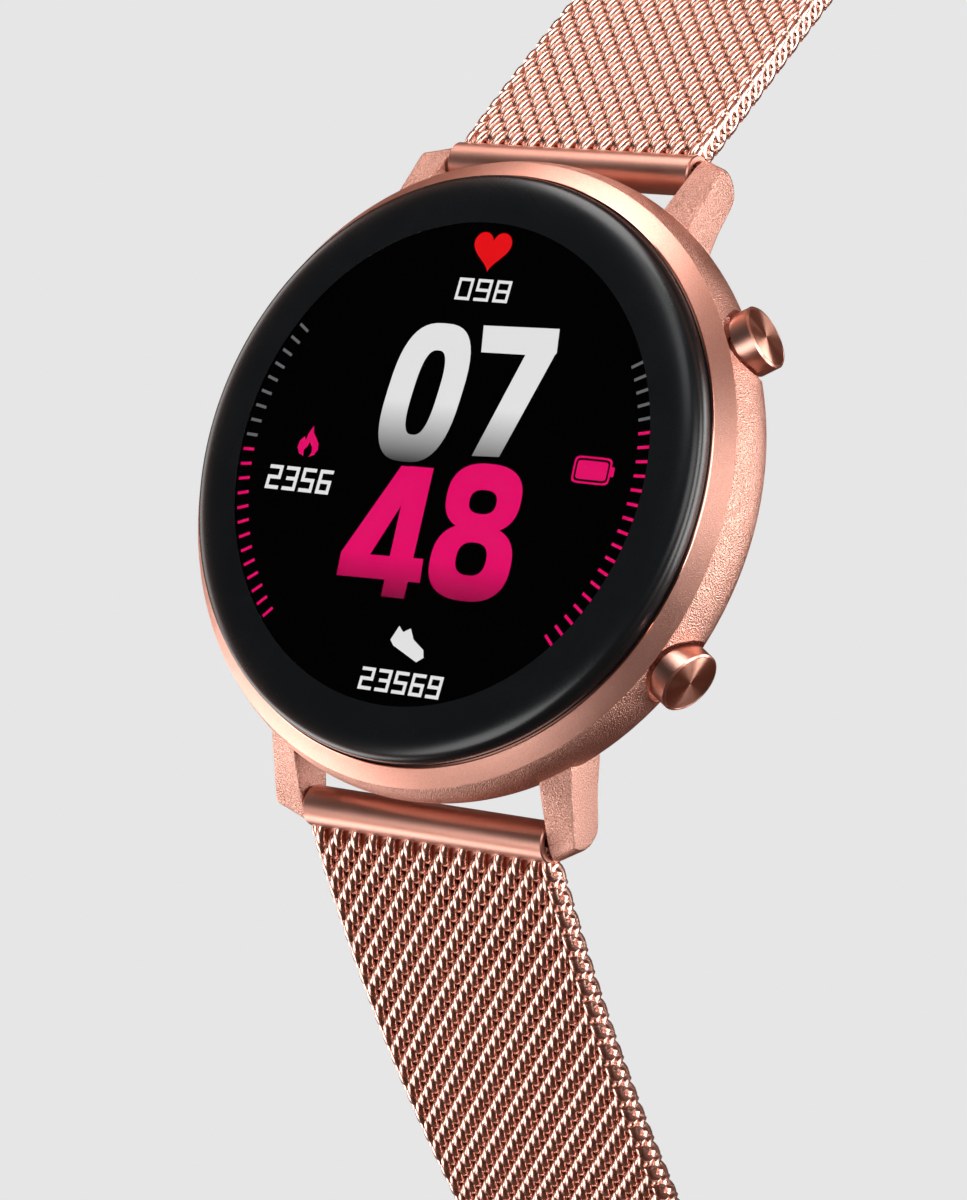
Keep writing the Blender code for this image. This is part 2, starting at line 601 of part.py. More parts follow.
def make_straps():
    """Both straps, from their spring bars to their ends, and the clasp."""
    for name, strap in STRAPS.items():
        swing = make_strap_end(name, strap)
        last = make_strap_mesh(name, strap, swing)
        if name == "upper":
            make_upper_tip(strap, last)
        else:
            tip = block("lower_end_cap", *scaled(((-9.8, 0.1, -1.15), (9.8, 2.0, 1.15))), "rose_satin",
                        last, local_place(strap, strap["end"]))
            round_edges(tip, 0.3 * MM, 1)
            make_clasp(strap, last)


make_case()
make_front()
make_electronics()
make_back()
make_buttons()
make_straps()
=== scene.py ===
# %% [markdown]
# # A round smartwatch on a woven steel band
# The case, the band and the clasp are already packed as plain solids with their joints. This lesson dresses
# that frame: each visible piece gets its true surface and its finish, and still rides on the body of the
# frame it belongs to. All lengths in the text are millimetres, and the meshes are stored in metres. The
# display faces up (+Z), three o'clock is +X and twelve o'clock is +Y.

import math

import bpy
import numpy as np
from mathutils import Matrix, Vector


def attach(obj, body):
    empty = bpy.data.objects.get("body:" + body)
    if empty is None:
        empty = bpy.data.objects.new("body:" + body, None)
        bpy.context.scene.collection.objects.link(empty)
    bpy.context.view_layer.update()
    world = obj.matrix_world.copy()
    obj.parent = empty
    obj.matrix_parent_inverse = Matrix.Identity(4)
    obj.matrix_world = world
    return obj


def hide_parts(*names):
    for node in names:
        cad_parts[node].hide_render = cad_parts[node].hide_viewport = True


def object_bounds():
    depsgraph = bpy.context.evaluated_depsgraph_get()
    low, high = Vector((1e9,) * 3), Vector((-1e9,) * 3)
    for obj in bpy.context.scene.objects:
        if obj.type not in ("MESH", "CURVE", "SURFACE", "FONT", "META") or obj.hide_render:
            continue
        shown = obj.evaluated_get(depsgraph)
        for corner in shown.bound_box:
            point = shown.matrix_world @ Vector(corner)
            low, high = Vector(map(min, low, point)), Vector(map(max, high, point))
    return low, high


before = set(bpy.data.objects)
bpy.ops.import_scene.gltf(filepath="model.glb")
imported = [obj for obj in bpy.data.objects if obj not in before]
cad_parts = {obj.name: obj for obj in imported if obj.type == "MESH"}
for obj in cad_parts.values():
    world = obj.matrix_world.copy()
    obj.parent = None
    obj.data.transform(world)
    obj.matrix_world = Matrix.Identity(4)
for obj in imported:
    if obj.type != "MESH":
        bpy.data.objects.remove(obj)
CAD_BOX = [list(map(float, corner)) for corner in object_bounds()]
MM = 0.001
print("frame box", CAD_BOX)

# %% [markdown]
# ## Helpers that turn numbers into meshes
# A surface is worked out as a whole array of points, on a grid or as a profile carried along a path. Two
# small helpers do the rest: one numbers the faces of a grid, the other stores points and faces in a mesh.
# The second one also measures the volume that the faces enclose and turns them all round if it comes out
# negative, so every closed piece faces outwards.

# %% Grid faces, volume and the mesh maker
def grid_faces(rows, cols, close_rows=False, close_cols=False):
    """Quads between points numbered row by row. A closed direction joins its last line to its first."""
    row = np.arange(rows if close_rows else rows - 1)[:, None]
    col = np.arange(cols if close_cols else cols - 1)[None, :]
    next_row, next_col = (row + 1) % rows, (col + 1) % cols
    corners = (row * cols + col, row * cols + next_col, next_row * cols + next_col, next_row * cols + col)
    return np.stack(corners, -1).reshape(-1, 4)


def enclosed_volume(points, faces):
    """A sixth of the sum of a . (b x c) over the triangles that fan out from each face's first corner."""
    total = 0.0
    for group in faces:
        first = points[group[:, 0]]
        for corner in range(1, group.shape[1] - 1):
            second, third = points[group[:, corner]], points[group[:, corner + 1]]
            total += np.einsum("ij,ij->", first, np.cross(second, third)) / 6.0
    return total


def store_mesh(name, points, faces):
    """Stores points in millimetres and groups of equal-sided faces in a new mesh, in metres."""
    if enclosed_volume(points, faces) < 0.0:
        faces = [group[:, ::-1] for group in faces]
    mesh = bpy.data.meshes.new(name)
    mesh.vertices.add(len(points))
    mesh.vertices.foreach_set("co", (points * MM).astype(np.float32).ravel())
    sizes = np.concatenate([np.full(len(group), group.shape[1]) for group in faces])
    corners = np.concatenate([group.ravel() for group in faces]).astype(np.int32)
    mesh.loops.add(len(corners))
    mesh.loops.foreach_set("vertex_index", corners)
    mesh.polygons.add(len(sizes))
    mesh.polygons.foreach_set("loop_start", (np.cumsum(sizes) - sizes).astype(np.int32))
    mesh.update(calc_edges=True)
    mesh.validate()
    return mesh


def add_piece(name, points, faces, material, body, stands_for=(), finish=None, sharp=32.0):
    """Makes an object, smooth except over edges sharper than an angle in degrees, riding on a body."""
    mesh = store_mesh(name, points, faces)
    mesh.polygons.foreach_set("use_smooth", np.ones(len(mesh.polygons), dtype=bool))
    mesh.set_sharp_from_angle(angle=math.radians(sharp))
    return dress(bpy.data.objects.new(name, mesh), material, body, stands_for)


def dress(obj, material, body, stands_for=()):
    """Links an object, gives it its material and ties it to the frame."""
    if not obj.users_collection:
        bpy.context.scene.collection.objects.link(obj)
    obj.data.materials.clear()
    obj.data.materials.append(material)
    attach(obj, body)
    if stands_for:
        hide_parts(*stands_for)
    return obj


# %% [markdown]
# A watch is mostly turned parts. `turned` spins a closed profile of (radius, height) about the Z axis. Where
# the profile touches the axis, all its copies meet in one pole, so the pole is made as a single point with a
# fan of triangles. `corner_arc` gives the rounded corners of such profiles. `loft` joins sections of equal
# point count and closes both ends.

# %% Turned and lofted shapes
def turned(profile, steps=128):
    """Points (r cos a, r sin a, z) for each profile point and each even angle a, with poles on the axis."""
    profile = np.asarray(profile, dtype=float)
    angle = np.linspace(0.0, 2.0 * math.pi, steps, endpoint=False)
    poles = profile[:, 0] < 1e-6
    wall = profile[~poles]
    radius, height = wall[:, :1], wall[:, 1:]
    around = (radius * np.cos(angle), radius * np.sin(angle), height + 0.0 * angle)
    points = np.stack(around, -1).reshape(-1, 3)
    if not poles.any():
        return points, [grid_faces(len(wall), steps, close_rows=True, close_cols=True)]
    faces = [grid_faces(len(wall), steps, close_cols=True)]
    here = np.arange(steps)
    after = (here + 1) % steps
    first, last = len(points), len(points) + 1
    tips = np.array([[0.0, 0.0, profile[0, 1]], [0.0, 0.0, profile[-1, 1]]])
    start_fan = np.stack((np.full(steps, first), after, here), -1)
    row = (len(wall) - 1) * steps
    end_fan = np.stack((np.full(steps, last), row + here, row + after), -1)
    return np.concatenate((points, tips)), faces + [np.concatenate((start_fan, end_fan))]


def corner_arc(centre, radius, start, end, count=6):
    """Points on a circle of a profile, from one angle to another, in degrees."""
    turn = np.radians(np.linspace(start, end, count))
    return [(centre[0] + radius * c, centre[1] + radius * s) for c, s in zip(np.cos(turn), np.sin(turn))]


def loft(sections):
    """Grid faces between closed sections of equal point count, with a flat face on each end."""
    sections = np.asarray(sections, dtype=float)
    rows, cols = sections.shape[:2]
    faces = [grid_faces(rows, cols, close_cols=True)]
    caps = np.stack((np.arange(cols)[::-1], (rows - 1) * cols + np.arange(cols)))
    return sections.reshape(-1, 3), faces + [caps]


def moved(points, matrix):
    """Points turned and moved by a 4 x 4 matrix."""
    matrix = np.array(matrix)
    return points @ matrix[:3, :3].T + matrix[:3, 3]


def joined(*shapes):
    """Several (points, faces) pairs as one, with the faces of the later ones renumbered."""
    points, faces, count = [], [], 0
    for some_points, some_faces in shapes:
        points.append(some_points)
        faces += [group + count for group in some_faces]
        count += len(some_points)
    return np.concatenate(points), faces


def drilled(obj, cutters):
    """Cuts closed shapes, given as (points, faces), out of a piece with exact booleans, then applied."""
    tools = []
    for number, (points, faces) in enumerate(cutters):
        tool = bpy.data.objects.new(f"{obj.name}_cutter_{number}", store_mesh("cutter", points, faces))
        bpy.context.scene.collection.objects.link(tool)
        cut = obj.modifiers.new(f"cut_{number}", "BOOLEAN")
        cut.operation, cut.solver, cut.object = "DIFFERENCE", "EXACT", tool
        tools.append(tool)
    bpy.context.view_layer.update()
    result = bpy.data.meshes.new_from_object(obj.evaluated_get(bpy.context.evaluated_depsgraph_get()))
    obj.modifiers.clear()
    obj.data = result
    result.set_sharp_from_angle(angle=math.radians(32.0))
    for tool in tools:
        bpy.data.objects.remove(tool, do_unlink=True)
    return obj


# %% [markdown]
# ## Finishes
# Every metal here is the same rose-gold plated steel; only its surface treatment differs, except that the
# mesh wire's colour is painted lighter, as painted light. The barrel and lugs are bead blasted and the bezel
# frame more finely so, the tubes, button sides and clasp are satin brushed, the mesh wire is drawn and
# polished, and the button faces are spun. What the treatments share is made once as node groups:
# `blast_grain` is the small random pitting with its cloudy tone, `drawn_lines` the fine parallel scratches of
# brushing, and
# `handling` the faint smears and hairlines of a worn surface. Each one reads object coordinates, so the scale
# of its pattern is a true length.

# %% Node helpers
def node(tree, kind, links=None, **values):
    """Adds a node, sets its properties, and sets or links its inputs by name or number."""
    made = tree.nodes.new(kind)
    for key, value in values.items():
        setattr(made, key, value)
    for key, value in (links or {}).items():
        if isinstance(value, bpy.types.NodeSocket):
            tree.links.new(value, made.inputs[key])
        else:
            made.inputs[key].default_value = value
    return made


def new_group(name, inputs, outputs):
    """A shader node group with named inputs (socket type and value) and named outputs."""
    tree = bpy.data.node_groups.new(name, "ShaderNodeTree")
    for label, kind, value in inputs:
        socket = tree.interface.new_socket(label, in_out="INPUT", socket_type=kind)
        socket.default_value = value
    for label, kind in outputs:
        tree.interface.new_socket(label, in_out="OUTPUT", socket_type=kind)
    return tree, tree.nodes.new("NodeGroupInput").outputs, tree.nodes.new("NodeGroupOutput").inputs


def ramp(tree, factor, stops):
    """A colour ramp through (place, colour) stops."""
    made = node(tree, "ShaderNodeValToRGB", {"Fac": factor})
    elements = made.color_ramp.elements
    while len(elements) < len(stops):
        elements.new(0.5)
    for element, (place, colour) in zip(elements, stops):
        element.position, element.color = place, colour
    return made.outputs["Color"]


def blend_colour(tree, factor, first, second, mode="MIX"):
    """Mixes two colours by a factor."""
    made = tree.nodes.new("ShaderNodeMix")
    made.data_type, made.blend_type = "RGBA", mode
    for place, value in ((0, factor), (6, first), (7, second)):
        if isinstance(value, bpy.types.NodeSocket):
            tree.links.new(value, made.inputs[place])
        else:
            made.inputs[place].default_value = value
    return made.outputs[2]


FLOAT, COLOUR, VECTOR = "NodeSocketFloat", "NodeSocketColor", "NodeSocketVector"

# %% The shared effects
def make_blast_grain():
    """Pitted grain: fine noise on top of rounded cells, as a normal, with a cloudy tone of the same size."""
    inputs = (("Grain Size", FLOAT, 0.00016), ("Depth", FLOAT, 0.00002), ("Strength", FLOAT, 0.6))
    tree, given, result = new_group("blast_grain", inputs, (("Normal", VECTOR), ("Tone", FLOAT)))
    place = node(tree, "ShaderNodeTexCoord").outputs["Object"]
    scale = node(tree, "ShaderNodeMath", {0: 1.0, 1: given["Grain Size"]}, operation="DIVIDE").outputs[0]
    cells = node(tree, "ShaderNodeTexVoronoi", {"Vector": place, "Scale": scale, "Randomness": 1.0})
    fine = node(tree, "ShaderNodeTexNoise", {"Vector": place, "Scale": scale, "Detail": 3.0,
                                             "Roughness": 0.65})
    height = node(tree, "ShaderNodeMath", {0: cells.outputs["Distance"], 1: fine.outputs["Fac"]},
                  operation="ADD")
    bump = node(tree, "ShaderNodeBump", {"Strength": given["Strength"], "Distance": given["Depth"],
                                         "Height": height.outputs[0]})
    tone = node(tree, "ShaderNodeTexNoise", {"Vector": place, "Scale": scale, "Detail": 4.0,
                                             "Roughness": 0.7})
    tree.links.new(bump.outputs[0], result["Normal"])
    tree.links.new(tone.outputs["Fac"], result["Tone"])
    return tree


def make_drawn_lines():
    """Parallel scratches: noise stretched a hundred times along one axis, as a normal and as a mask."""
    inputs = (("Stretch", VECTOR, (60.0, 9000.0, 9000.0)), ("Depth", FLOAT, 0.000004),
              ("Strength", FLOAT, 0.35))
    outputs = (("Normal", VECTOR), ("Lines", FLOAT))
    tree, given, result = new_group("drawn_lines", inputs, outputs)
    place = node(tree, "ShaderNodeTexCoord").outputs["Object"]
    stretched = node(tree, "ShaderNodeVectorMath", {0: place, 1: given["Stretch"]}, operation="MULTIPLY")
    lines = node(tree, "ShaderNodeTexNoise", {"Vector": stretched.outputs[0], "Scale": 1.0, "Detail": 3.0,
                                              "Roughness": 0.7})
    bump = node(tree, "ShaderNodeBump", {"Strength": given["Strength"], "Distance": given["Depth"],
                                         "Height": lines.outputs["Fac"]})
    tree.links.new(bump.outputs[0], result["Normal"])
    tree.links.new(lines.outputs["Fac"], result["Lines"])
    return tree


def make_handling():
    """Smears and hairlines: broad soft noise plus thin ridges of a stretched noise, each times an amount."""
    inputs = (("Smear", FLOAT, 0.06), ("Hairline", FLOAT, 0.05), ("Base", FLOAT, 0.1))
    tree, given, result = new_group("handling", inputs, (("Roughness", FLOAT), ("Mask", FLOAT)))
    place = node(tree, "ShaderNodeTexCoord").outputs["Object"]
    broad = node(tree, "ShaderNodeTexNoise", {"Vector": place, "Scale": 220.0, "Detail": 5.0,
                                              "Roughness": 0.6, "Distortion": 0.8})
    turn = node(tree, "ShaderNodeMapping", {"Vector": place, "Rotation": (0.3, 0.2, 0.9),
                                            "Scale": (40.0, 2600.0, 40.0)})
    thin = node(tree, "ShaderNodeTexNoise", {"Vector": turn.outputs[0], "Scale": 1.0, "Detail": 1.0})
    hair = node(tree, "ShaderNodeMapRange", {"Value": thin.outputs["Fac"], "From Min": 0.66,
                                             "From Max": 0.72})
    smear = node(tree, "ShaderNodeMath", {0: broad.outputs["Fac"], 1: given["Smear"], 2: given["Base"]},
                 operation="MULTIPLY_ADD")
    total = node(tree, "ShaderNodeMath", {0: hair.outputs[0], 1: given["Hairline"], 2: smear.outputs[0]},
                 operation="MULTIPLY_ADD")
    tree.links.new(total.outputs[0], result["Roughness"])
    tree.links.new(broad.outputs["Fac"], result["Mask"])
    return tree


BLAST_GRAIN = make_blast_grain()
DRAWN_LINES = make_drawn_lines()
HANDLING = make_handling()
print("effects", [tree.name for tree in bpy.data.node_groups])

# %% [markdown]
# The materials follow. The plating's colour comes out of its metal reflection, so a rose gold is a metal
# with a warm base colour: the light that bounces twice between wires goes deeper orange by itself. `placed`
# puts a group in a material with that material's own values.

# %% Material makers
ROSE = (0.79, 0.41, 0.325, 1.0)


def new_material(name, **values):
    """A material with a Principled shader whose plain sockets are set by name."""
    made = bpy.data.materials.new(name)
    made.use_nodes = True
    shader = made.node_tree.nodes["Principled BSDF"]
    for key, value in values.items():
        shader.inputs[key.replace("_", " ")].default_value = value
    return made, made.node_tree, shader


def placed(tree, group, **values):
    """An instance of a shared effect with its own input values."""
    made = tree.nodes.new("ShaderNodeGroup")
    made.node_tree = group
    for key, value in values.items():
        made.inputs[key.replace("_", " ")].default_value = value
    return made.outputs


def feed(tree, socket, shader, name):
    """Links a socket into the shader."""
    tree.links.new(socket, shader.inputs[name])


def make_blasted(name, size, depth, rough, dark, light):
    """Bead-blasted plating: pits in the normal, and a tone that goes with them between a dark and a light."""
    made, tree, shader = new_material(name, Metallic=1.0)
    grain = placed(tree, BLAST_GRAIN, Grain_Size=size, Depth=depth, Strength=0.8)
    wear = placed(tree, HANDLING, Smear=0.10, Hairline=0.0, Base=rough)
    tone = ramp(tree, grain["Tone"], ((0.34, dark), (0.66, light)))
    feed(tree, tone, shader, "Base Color")
    feed(tree, wear["Roughness"], shader, "Roughness")
    feed(tree, grain["Normal"], shader, "Normal")
    return made


def make_satin(name, stretch, rough=0.27, colour=ROSE):
    """Satin plating: brushed lines along one axis over the broad smears of handling."""
    made, tree, shader = new_material(name, Metallic=1.0)
    lines = placed(tree, DRAWN_LINES, Stretch=stretch, Depth=0.000006, Strength=0.4)
    wear = placed(tree, HANDLING, Smear=0.12, Hairline=0.0, Base=rough)
    darker = tuple(0.9 * part for part in colour[:3]) + (1.0,)
    feed(tree, blend_colour(tree, lines["Lines"], darker, colour), shader, "Base Color")
    feed(tree, wear["Roughness"], shader, "Roughness")
    feed(tree, lines["Normal"], shader, "Normal")
    return made


def make_polish(name, colour=ROSE, rough=0.08):
    """Polished plating with faint smears and hairlines in its gloss."""
    made, tree, shader = new_material(name, Metallic=1.0)
    wear = placed(tree, HANDLING, Smear=0.10, Hairline=0.08, Base=rough)
    darker = tuple(0.88 * part for part in colour[:3]) + (1.0,)
    feed(tree, blend_colour(tree, wear["Mask"], darker, colour), shader, "Base Color")
    feed(tree, wear["Roughness"], shader, "Roughness")
    return made


def make_plain(name, colour, metallic, rough, grain=0.00002, size=0.0004, **values):
    """Moulded or printed surface: a slight grain, a little change of tone, and smears in its gloss."""
    made, tree, shader = new_material(name, Metallic=metallic, **values)
    pits = placed(tree, BLAST_GRAIN, Grain_Size=size, Depth=grain, Strength=0.3)
    wear = placed(tree, HANDLING, Smear=0.12, Hairline=0.05, Base=rough)
    darker = tuple(0.8 * part for part in colour[:3]) + (1.0,)
    feed(tree, blend_colour(tree, pits["Tone"], darker, colour), shader, "Base Color")
    feed(tree, wear["Roughness"], shader, "Roughness")
    feed(tree, pits["Normal"], shader, "Normal")
    return made


COARSE_DARK, COARSE_LIGHT = (0.50, 0.20, 0.135, 1.0), (0.97, 0.60, 0.50, 1.0)
FINE_DARK, FINE_LIGHT = (0.70, 0.34, 0.26, 1.0), (0.86, 0.47, 0.38, 1.0)
ROSE_BLASTED = make_blasted("rose_blasted", 0.00010, 0.00006, 0.28, COARSE_DARK, COARSE_LIGHT)
ROSE_FINE = make_blasted("rose_blasted_fine", 0.00008, 0.00001, 0.30, FINE_DARK, FINE_LIGHT)
ROSE_TUBE = make_satin("rose_satin_tube", (9000.0, 300.0, 300.0), 0.32)
ROSE_SATIN = make_satin("rose_satin_brushed", (300.0, 9000.0, 9000.0), 0.24)
ROSE_CAP = make_satin("rose_satin_cap", (4000.0, 4000.0, 9000.0), 0.24)
ROSE_POLISH = make_polish("rose_polished")
# The wire's colour is the rose plating painted lighter: painted light that stands in for light the mesh does
# not get.
ROSE_WIRE_PAINTED_LIGHT = make_polish("rose_wire_painted_lighter", (0.95, 0.58, 0.48, 1.0), 0.20)
STEEL_SATIN = make_satin("steel_satin", (9000.0, 300.0, 9000.0), 0.25, (0.56, 0.55, 0.54, 1.0))
STEEL_POLISH = make_polish("steel_polished", (0.62, 0.61, 0.60, 1.0), 0.14)
GOLD_CONTACT = make_polish("gold_plated_contact", (0.90, 0.66, 0.28, 1.0), 0.18)
BLACK_PLASTIC = make_plain("black_plastic_moulded", (0.028, 0.028, 0.03, 1.0), 0.0, 0.42)
RUBBER = make_plain("rubber_gasket", (0.02, 0.02, 0.021, 1.0), 0.0, 0.62, 0.00004)
print("metals and plastics", len(bpy.data.materials))

# %% [markdown]
# The bezel is black ceramic with a soft gloss and a trace of smears. The glass has a coating that takes most
# of the mirror out of it, and the display below it is a black that gives nothing back, so it stays darker
# than the bezel. The circuit board has a green mask over a grid of tracks, and the battery a silvery foil
# with soft creases.

# %% Ceramic, glass, board and foil
def make_ceramic():
    """Black ceramic: almost no colour, and a gloss that changes a little where fingers touch it."""
    made, tree, shader = new_material("bezel_ceramic", Specular_IOR_Level=0.55)
    wear = placed(tree, HANDLING, Smear=0.06, Hairline=0.0, Base=0.24)
    feed(tree, blend_colour(tree, wear["Mask"], (0.0035, 0.005, 0.0065, 1.0), (0.005, 0.007, 0.0085, 1.0)),
         shader, "Base Color")
    feed(tree, wear["Roughness"], shader, "Roughness")
    return made


def make_glass():
    """Clear cover glass whose coating keeps its reflection weak, with a trace of smears."""
    made, tree, shader = new_material("clear_cover_glass", Transmission_Weight=1.0, IOR=1.45,
                                      Specular_IOR_Level=0.12)
    wear = placed(tree, HANDLING, Smear=0.02, Hairline=0.01, Base=0.0)
    feed(tree, wear["Roughness"], shader, "Roughness")
    return made


def make_display_black():
    """Unlit display: black with the faintest grid of its rows."""
    made, tree, shader = new_material("display_black", Roughness=0.5, Specular_IOR_Level=0.0)
    place = node(tree, "ShaderNodeTexCoord").outputs["Object"]
    rows = node(tree, "ShaderNodeTexWave", {"Vector": place, "Scale": 4000.0})
    dark, light = (0.0003, 0.0003, 0.0003, 1.0), (0.0008, 0.0008, 0.0008, 1.0)
    feed(tree, blend_colour(tree, rows.outputs["Fac"], dark, light), shader, "Base Color")
    return made


def make_board():
    """Green solder mask over a grid of copper tracks, drawn as the joints of a brick pattern."""
    made, tree, shader = new_material("circuit_board_mask", Specular_IOR_Level=0.6)
    place = node(tree, "ShaderNodeTexCoord").outputs["Object"]
    cells = node(tree, "ShaderNodeTexBrick", {"Vector": place, "Scale": 420.0, "Mortar Size": 0.03,
                                              "Color1": (0.010, 0.075, 0.038, 1.0),
                                              "Color2": (0.014, 0.10, 0.05, 1.0),
                                              "Mortar": (0.10, 0.22, 0.08, 1.0)})
    wear = placed(tree, HANDLING, Smear=0.15, Hairline=0.0, Base=0.28)
    feed(tree, cells.outputs["Color"], shader, "Base Color")
    feed(tree, wear["Roughness"], shader, "Roughness")
    return made


def make_foil():
    """Battery foil: metallic with soft creases in the normal, and painted shade that darkens its colour in
    their hollows.
    """
    made, tree, shader = new_material("battery_foil_wrap", Metallic=0.7)
    place = node(tree, "ShaderNodeTexCoord").outputs["Object"]
    crease = node(tree, "ShaderNodeTexNoise", {"Vector": place, "Scale": 500.0, "Detail": 4.0,
                                               "Distortion": 1.5})
    bump = node(tree, "ShaderNodeBump", {"Strength": 0.5, "Distance": 0.0002,
                                         "Height": crease.outputs["Fac"]})
    wear = placed(tree, HANDLING, Smear=0.2, Hairline=0.0, Base=0.25)
    # Painted shade: the foil's colour goes darker where the creases sink.
    feed(tree, blend_colour(tree, crease.outputs["Fac"], (0.45, 0.46, 0.48, 1.0), (0.62, 0.63, 0.65, 1.0)),
         shader, "Base Color")
    feed(tree, wear["Roughness"], shader, "Roughness")
    feed(tree, bump.outputs[0], shader, "Normal")
    return made


BEZEL_CERAMIC = make_ceramic()
COVER_GLASS = make_glass()
DISPLAY_BLACK = make_display_black()
CIRCUIT_BOARD = make_board()
BATTERY_FOIL = make_foil()
SENSOR_GLASS = make_plain("sensor_dark_glass", (0.008, 0.008, 0.010, 1.0), 0.0, 0.05, 0.000002, 0.002)
print("all materials", len(bpy.data.materials))

# %% [markdown]
# ## The barrel
# The barrel is a round-sided ring about 43 mm across. Its side is two arcs that share a tangent: a tight one
# that makes the widest line, and a flatter one that runs in under the case. Each button sits in a round
# pocket milled along the button's own axis. The ring is turned in fine steps, and the two pockets are then
# cut from it.

# %% Barrel profile, side and pockets
SIDE_CENTRE, SIDE_R, UNDER_R, SIDE_TURN = (18.27, 7.6), 3.45, 8.5, 37.7
BUTTON_ANGLES = {"upper": 29.7, "lower": -30.3}
BUTTON_Z = 7.1


def barrel_profile():
    """Closed (radius, height) profile of the barrel, from its inner floor round the side to its seat."""
    turn = math.radians(SIDE_TURN)
    shift = UNDER_R - SIDE_R
    under = (SIDE_CENTRE[0] - shift * math.cos(turn), SIDE_CENTRE[1] + shift * math.sin(turn))
    lower = corner_arc(under, UNDER_R, -70.0, -SIDE_TURN, 10)
    side = corner_arc(SIDE_CENTRE, SIDE_R, -SIDE_TURN, 30.4, 26)[1:]
    edge = [(21.20, 9.44), (21.18, 9.455), (19.9, 9.455), (19.78, 9.3), (19.78, 8.9), (18.6, 8.9),
            (18.6, 4.2)]
    return [(13.6, 4.2), (13.6, 2.7), (lower[0][0] - 0.05, 2.7)] + lower + side + edge


def button_matrix(name):
    """Matrix whose Z runs out along a button from the case axis, in millimetres."""
    turn = Matrix.Rotation(math.radians(BUTTON_ANGLES[name]), 4, "Z")
    lay_down = Matrix.Rotation(math.radians(90.0), 4, "Y")
    return Matrix.Translation((0.0, 0.0, BUTTON_Z)) @ turn @ lay_down


POCKET = [(0.0, 25.0), (2.45, 25.0), (2.45, 20.72), (2.33, 20.62), (1.05, 20.6), (1.05, 17.5), (0.0, 17.5)]
barrel = add_piece("case_barrel", *turned(barrel_profile(), 288), ROSE_BLASTED, "case", ("mid_case",),
                   "rose_blasted")
pocket_points, pocket_faces = turned(POCKET, 72)
drilled(barrel, [(moved(pocket_points, button_matrix(name)), pocket_faces) for name in BUTTON_ANGLES])
print("barrel", len(barrel.data.polygons), "faces")

# %% [markdown]
# ## The lugs
# Four horns reach down from the barrel and hold the spring bars. A lug is a loft along its width: the side
# outline at the inner plane is a little taller and longer than the outline at the outer plane, so the crown
# falls outwards and the end is slanted, with crisp ridges between. The corner outlines are rounded by a
# spline, and the first and last sections shrink a little, which gives the fine broken edge that blasting
# leaves.

# %% Lug outlines and loft
LUG_INNER = np.array([(15.4, 8.1), (17.2, 7.95), (18.7, 7.5), (19.65, 7.0), (21.1, 6.0), (22.6, 4.95),
                      (23.35, 4.3), (23.72, 3.75), (23.7, 3.15), (23.3, 2.68), (22.4, 2.5), (21.3, 2.62),
                      (18.8, 3.6), (15.4, 4.75)])
LUG_OUTER = np.array([(15.4, 7.6), (16.8, 7.45), (18.5, 6.98), (19.8, 6.38), (21.2, 5.68), (22.3, 5.15),
                      (22.78, 4.85), (22.88, 4.4), (22.72, 3.8), (22.3, 3.2), (21.6, 2.78), (20.9, 2.78),
                      (18.75, 3.66), (15.4, 4.85)])
LUG_NEAR, LUG_FAR = 10.0, 12.3


def rounded_outline(corners, per_side=8):
    """Closed curve through the corners: cubic Hermite spans h1 p1 + h2 m1 + h3 p2 + h4 m2, sampled evenly."""
    before, after, later = np.roll(corners, 1, 0), np.roll(corners, -1, 0), np.roll(corners, -2, 0)
    t = (np.arange(per_side) / per_side)[None, :, None]
    p0, p1, p2, p3 = (part[:, None, :] for part in (before, corners, after, later))
    tension = 0.42
    m1, m2 = tension * (p2 - p0), tension * (p3 - p1)
    h1, h2 = 2 * t**3 - 3 * t**2 + 1, t**3 - 2 * t**2 + t
    h3, h4 = 3 * t**2 - 2 * t**3, t**3 - t**2
    return (h1 * p1 + h2 * m1 + h3 * p2 + h4 * m2).reshape(-1, 2)


def shrunk(outline, amount):
    """The outline moved inwards by an amount along its own normals."""
    along = np.roll(outline, -1, 0) - np.roll(outline, 1, 0)
    along /= np.linalg.norm(along, axis=1, keepdims=True)
    return outline + amount * np.stack((along[:, 1], -along[:, 0]), -1)


def lug_sections(side_x, side_y, edge=0.16):
    """Sections (x, y, z) of a lug from its inner plane to its outer one, with a quarter round at both."""
    inner, outer = rounded_outline(LUG_INNER), rounded_outline(LUG_OUTER)
    quarter = np.radians(np.linspace(0.0, 90.0, 5))
    inset = edge * (1.0 - np.sin(quarter))
    near = edge * (1.0 - np.cos(quarter))
    between = np.linspace(LUG_NEAR + edge, LUG_FAR - edge, 7)[1:-1]
    places = np.concatenate((LUG_NEAR + near, between, LUG_FAR - near[::-1]))
    insets = np.concatenate((inset, np.zeros(len(between)), inset[::-1]))
    rows = []
    for x, amount in zip(places, insets):
        share = (x - LUG_NEAR) / (LUG_FAR - LUG_NEAR)
        outline = shrunk(inner * (1.0 - share) + outer * share, amount)
        across = np.full(len(outline), side_x * x)
        rows.append(np.column_stack((across, side_y * outline[:, 0], outline[:, 1])))
    return rows


for end, side_y in (("upper", 1.0), ("lower", -1.0)):
    for hand, side_x in (("left", -1.0), ("right", 1.0)):
        shape = loft(lug_sections(side_x, side_y))
        add_piece(f"lug_{end}_{hand}", *shape, ROSE_BLASTED, "case", ("mid_case",), "rose_blasted", 40.0)

# %% [markdown]
# ## Bezel, glass and display
# The front is three rings and a disc. A narrow frame slopes from the barrel up to the black ring, with a
# fine polished lip where they meet. The black ceramic ring is domed: its section is a quarter of a
# superellipse, flatter than a circle on top and quick to drop at the edge. The cover glass is bonded to the
# display, so the picture lies close under its surface, and a thin edge of the ring covers the rim of the
# glass.

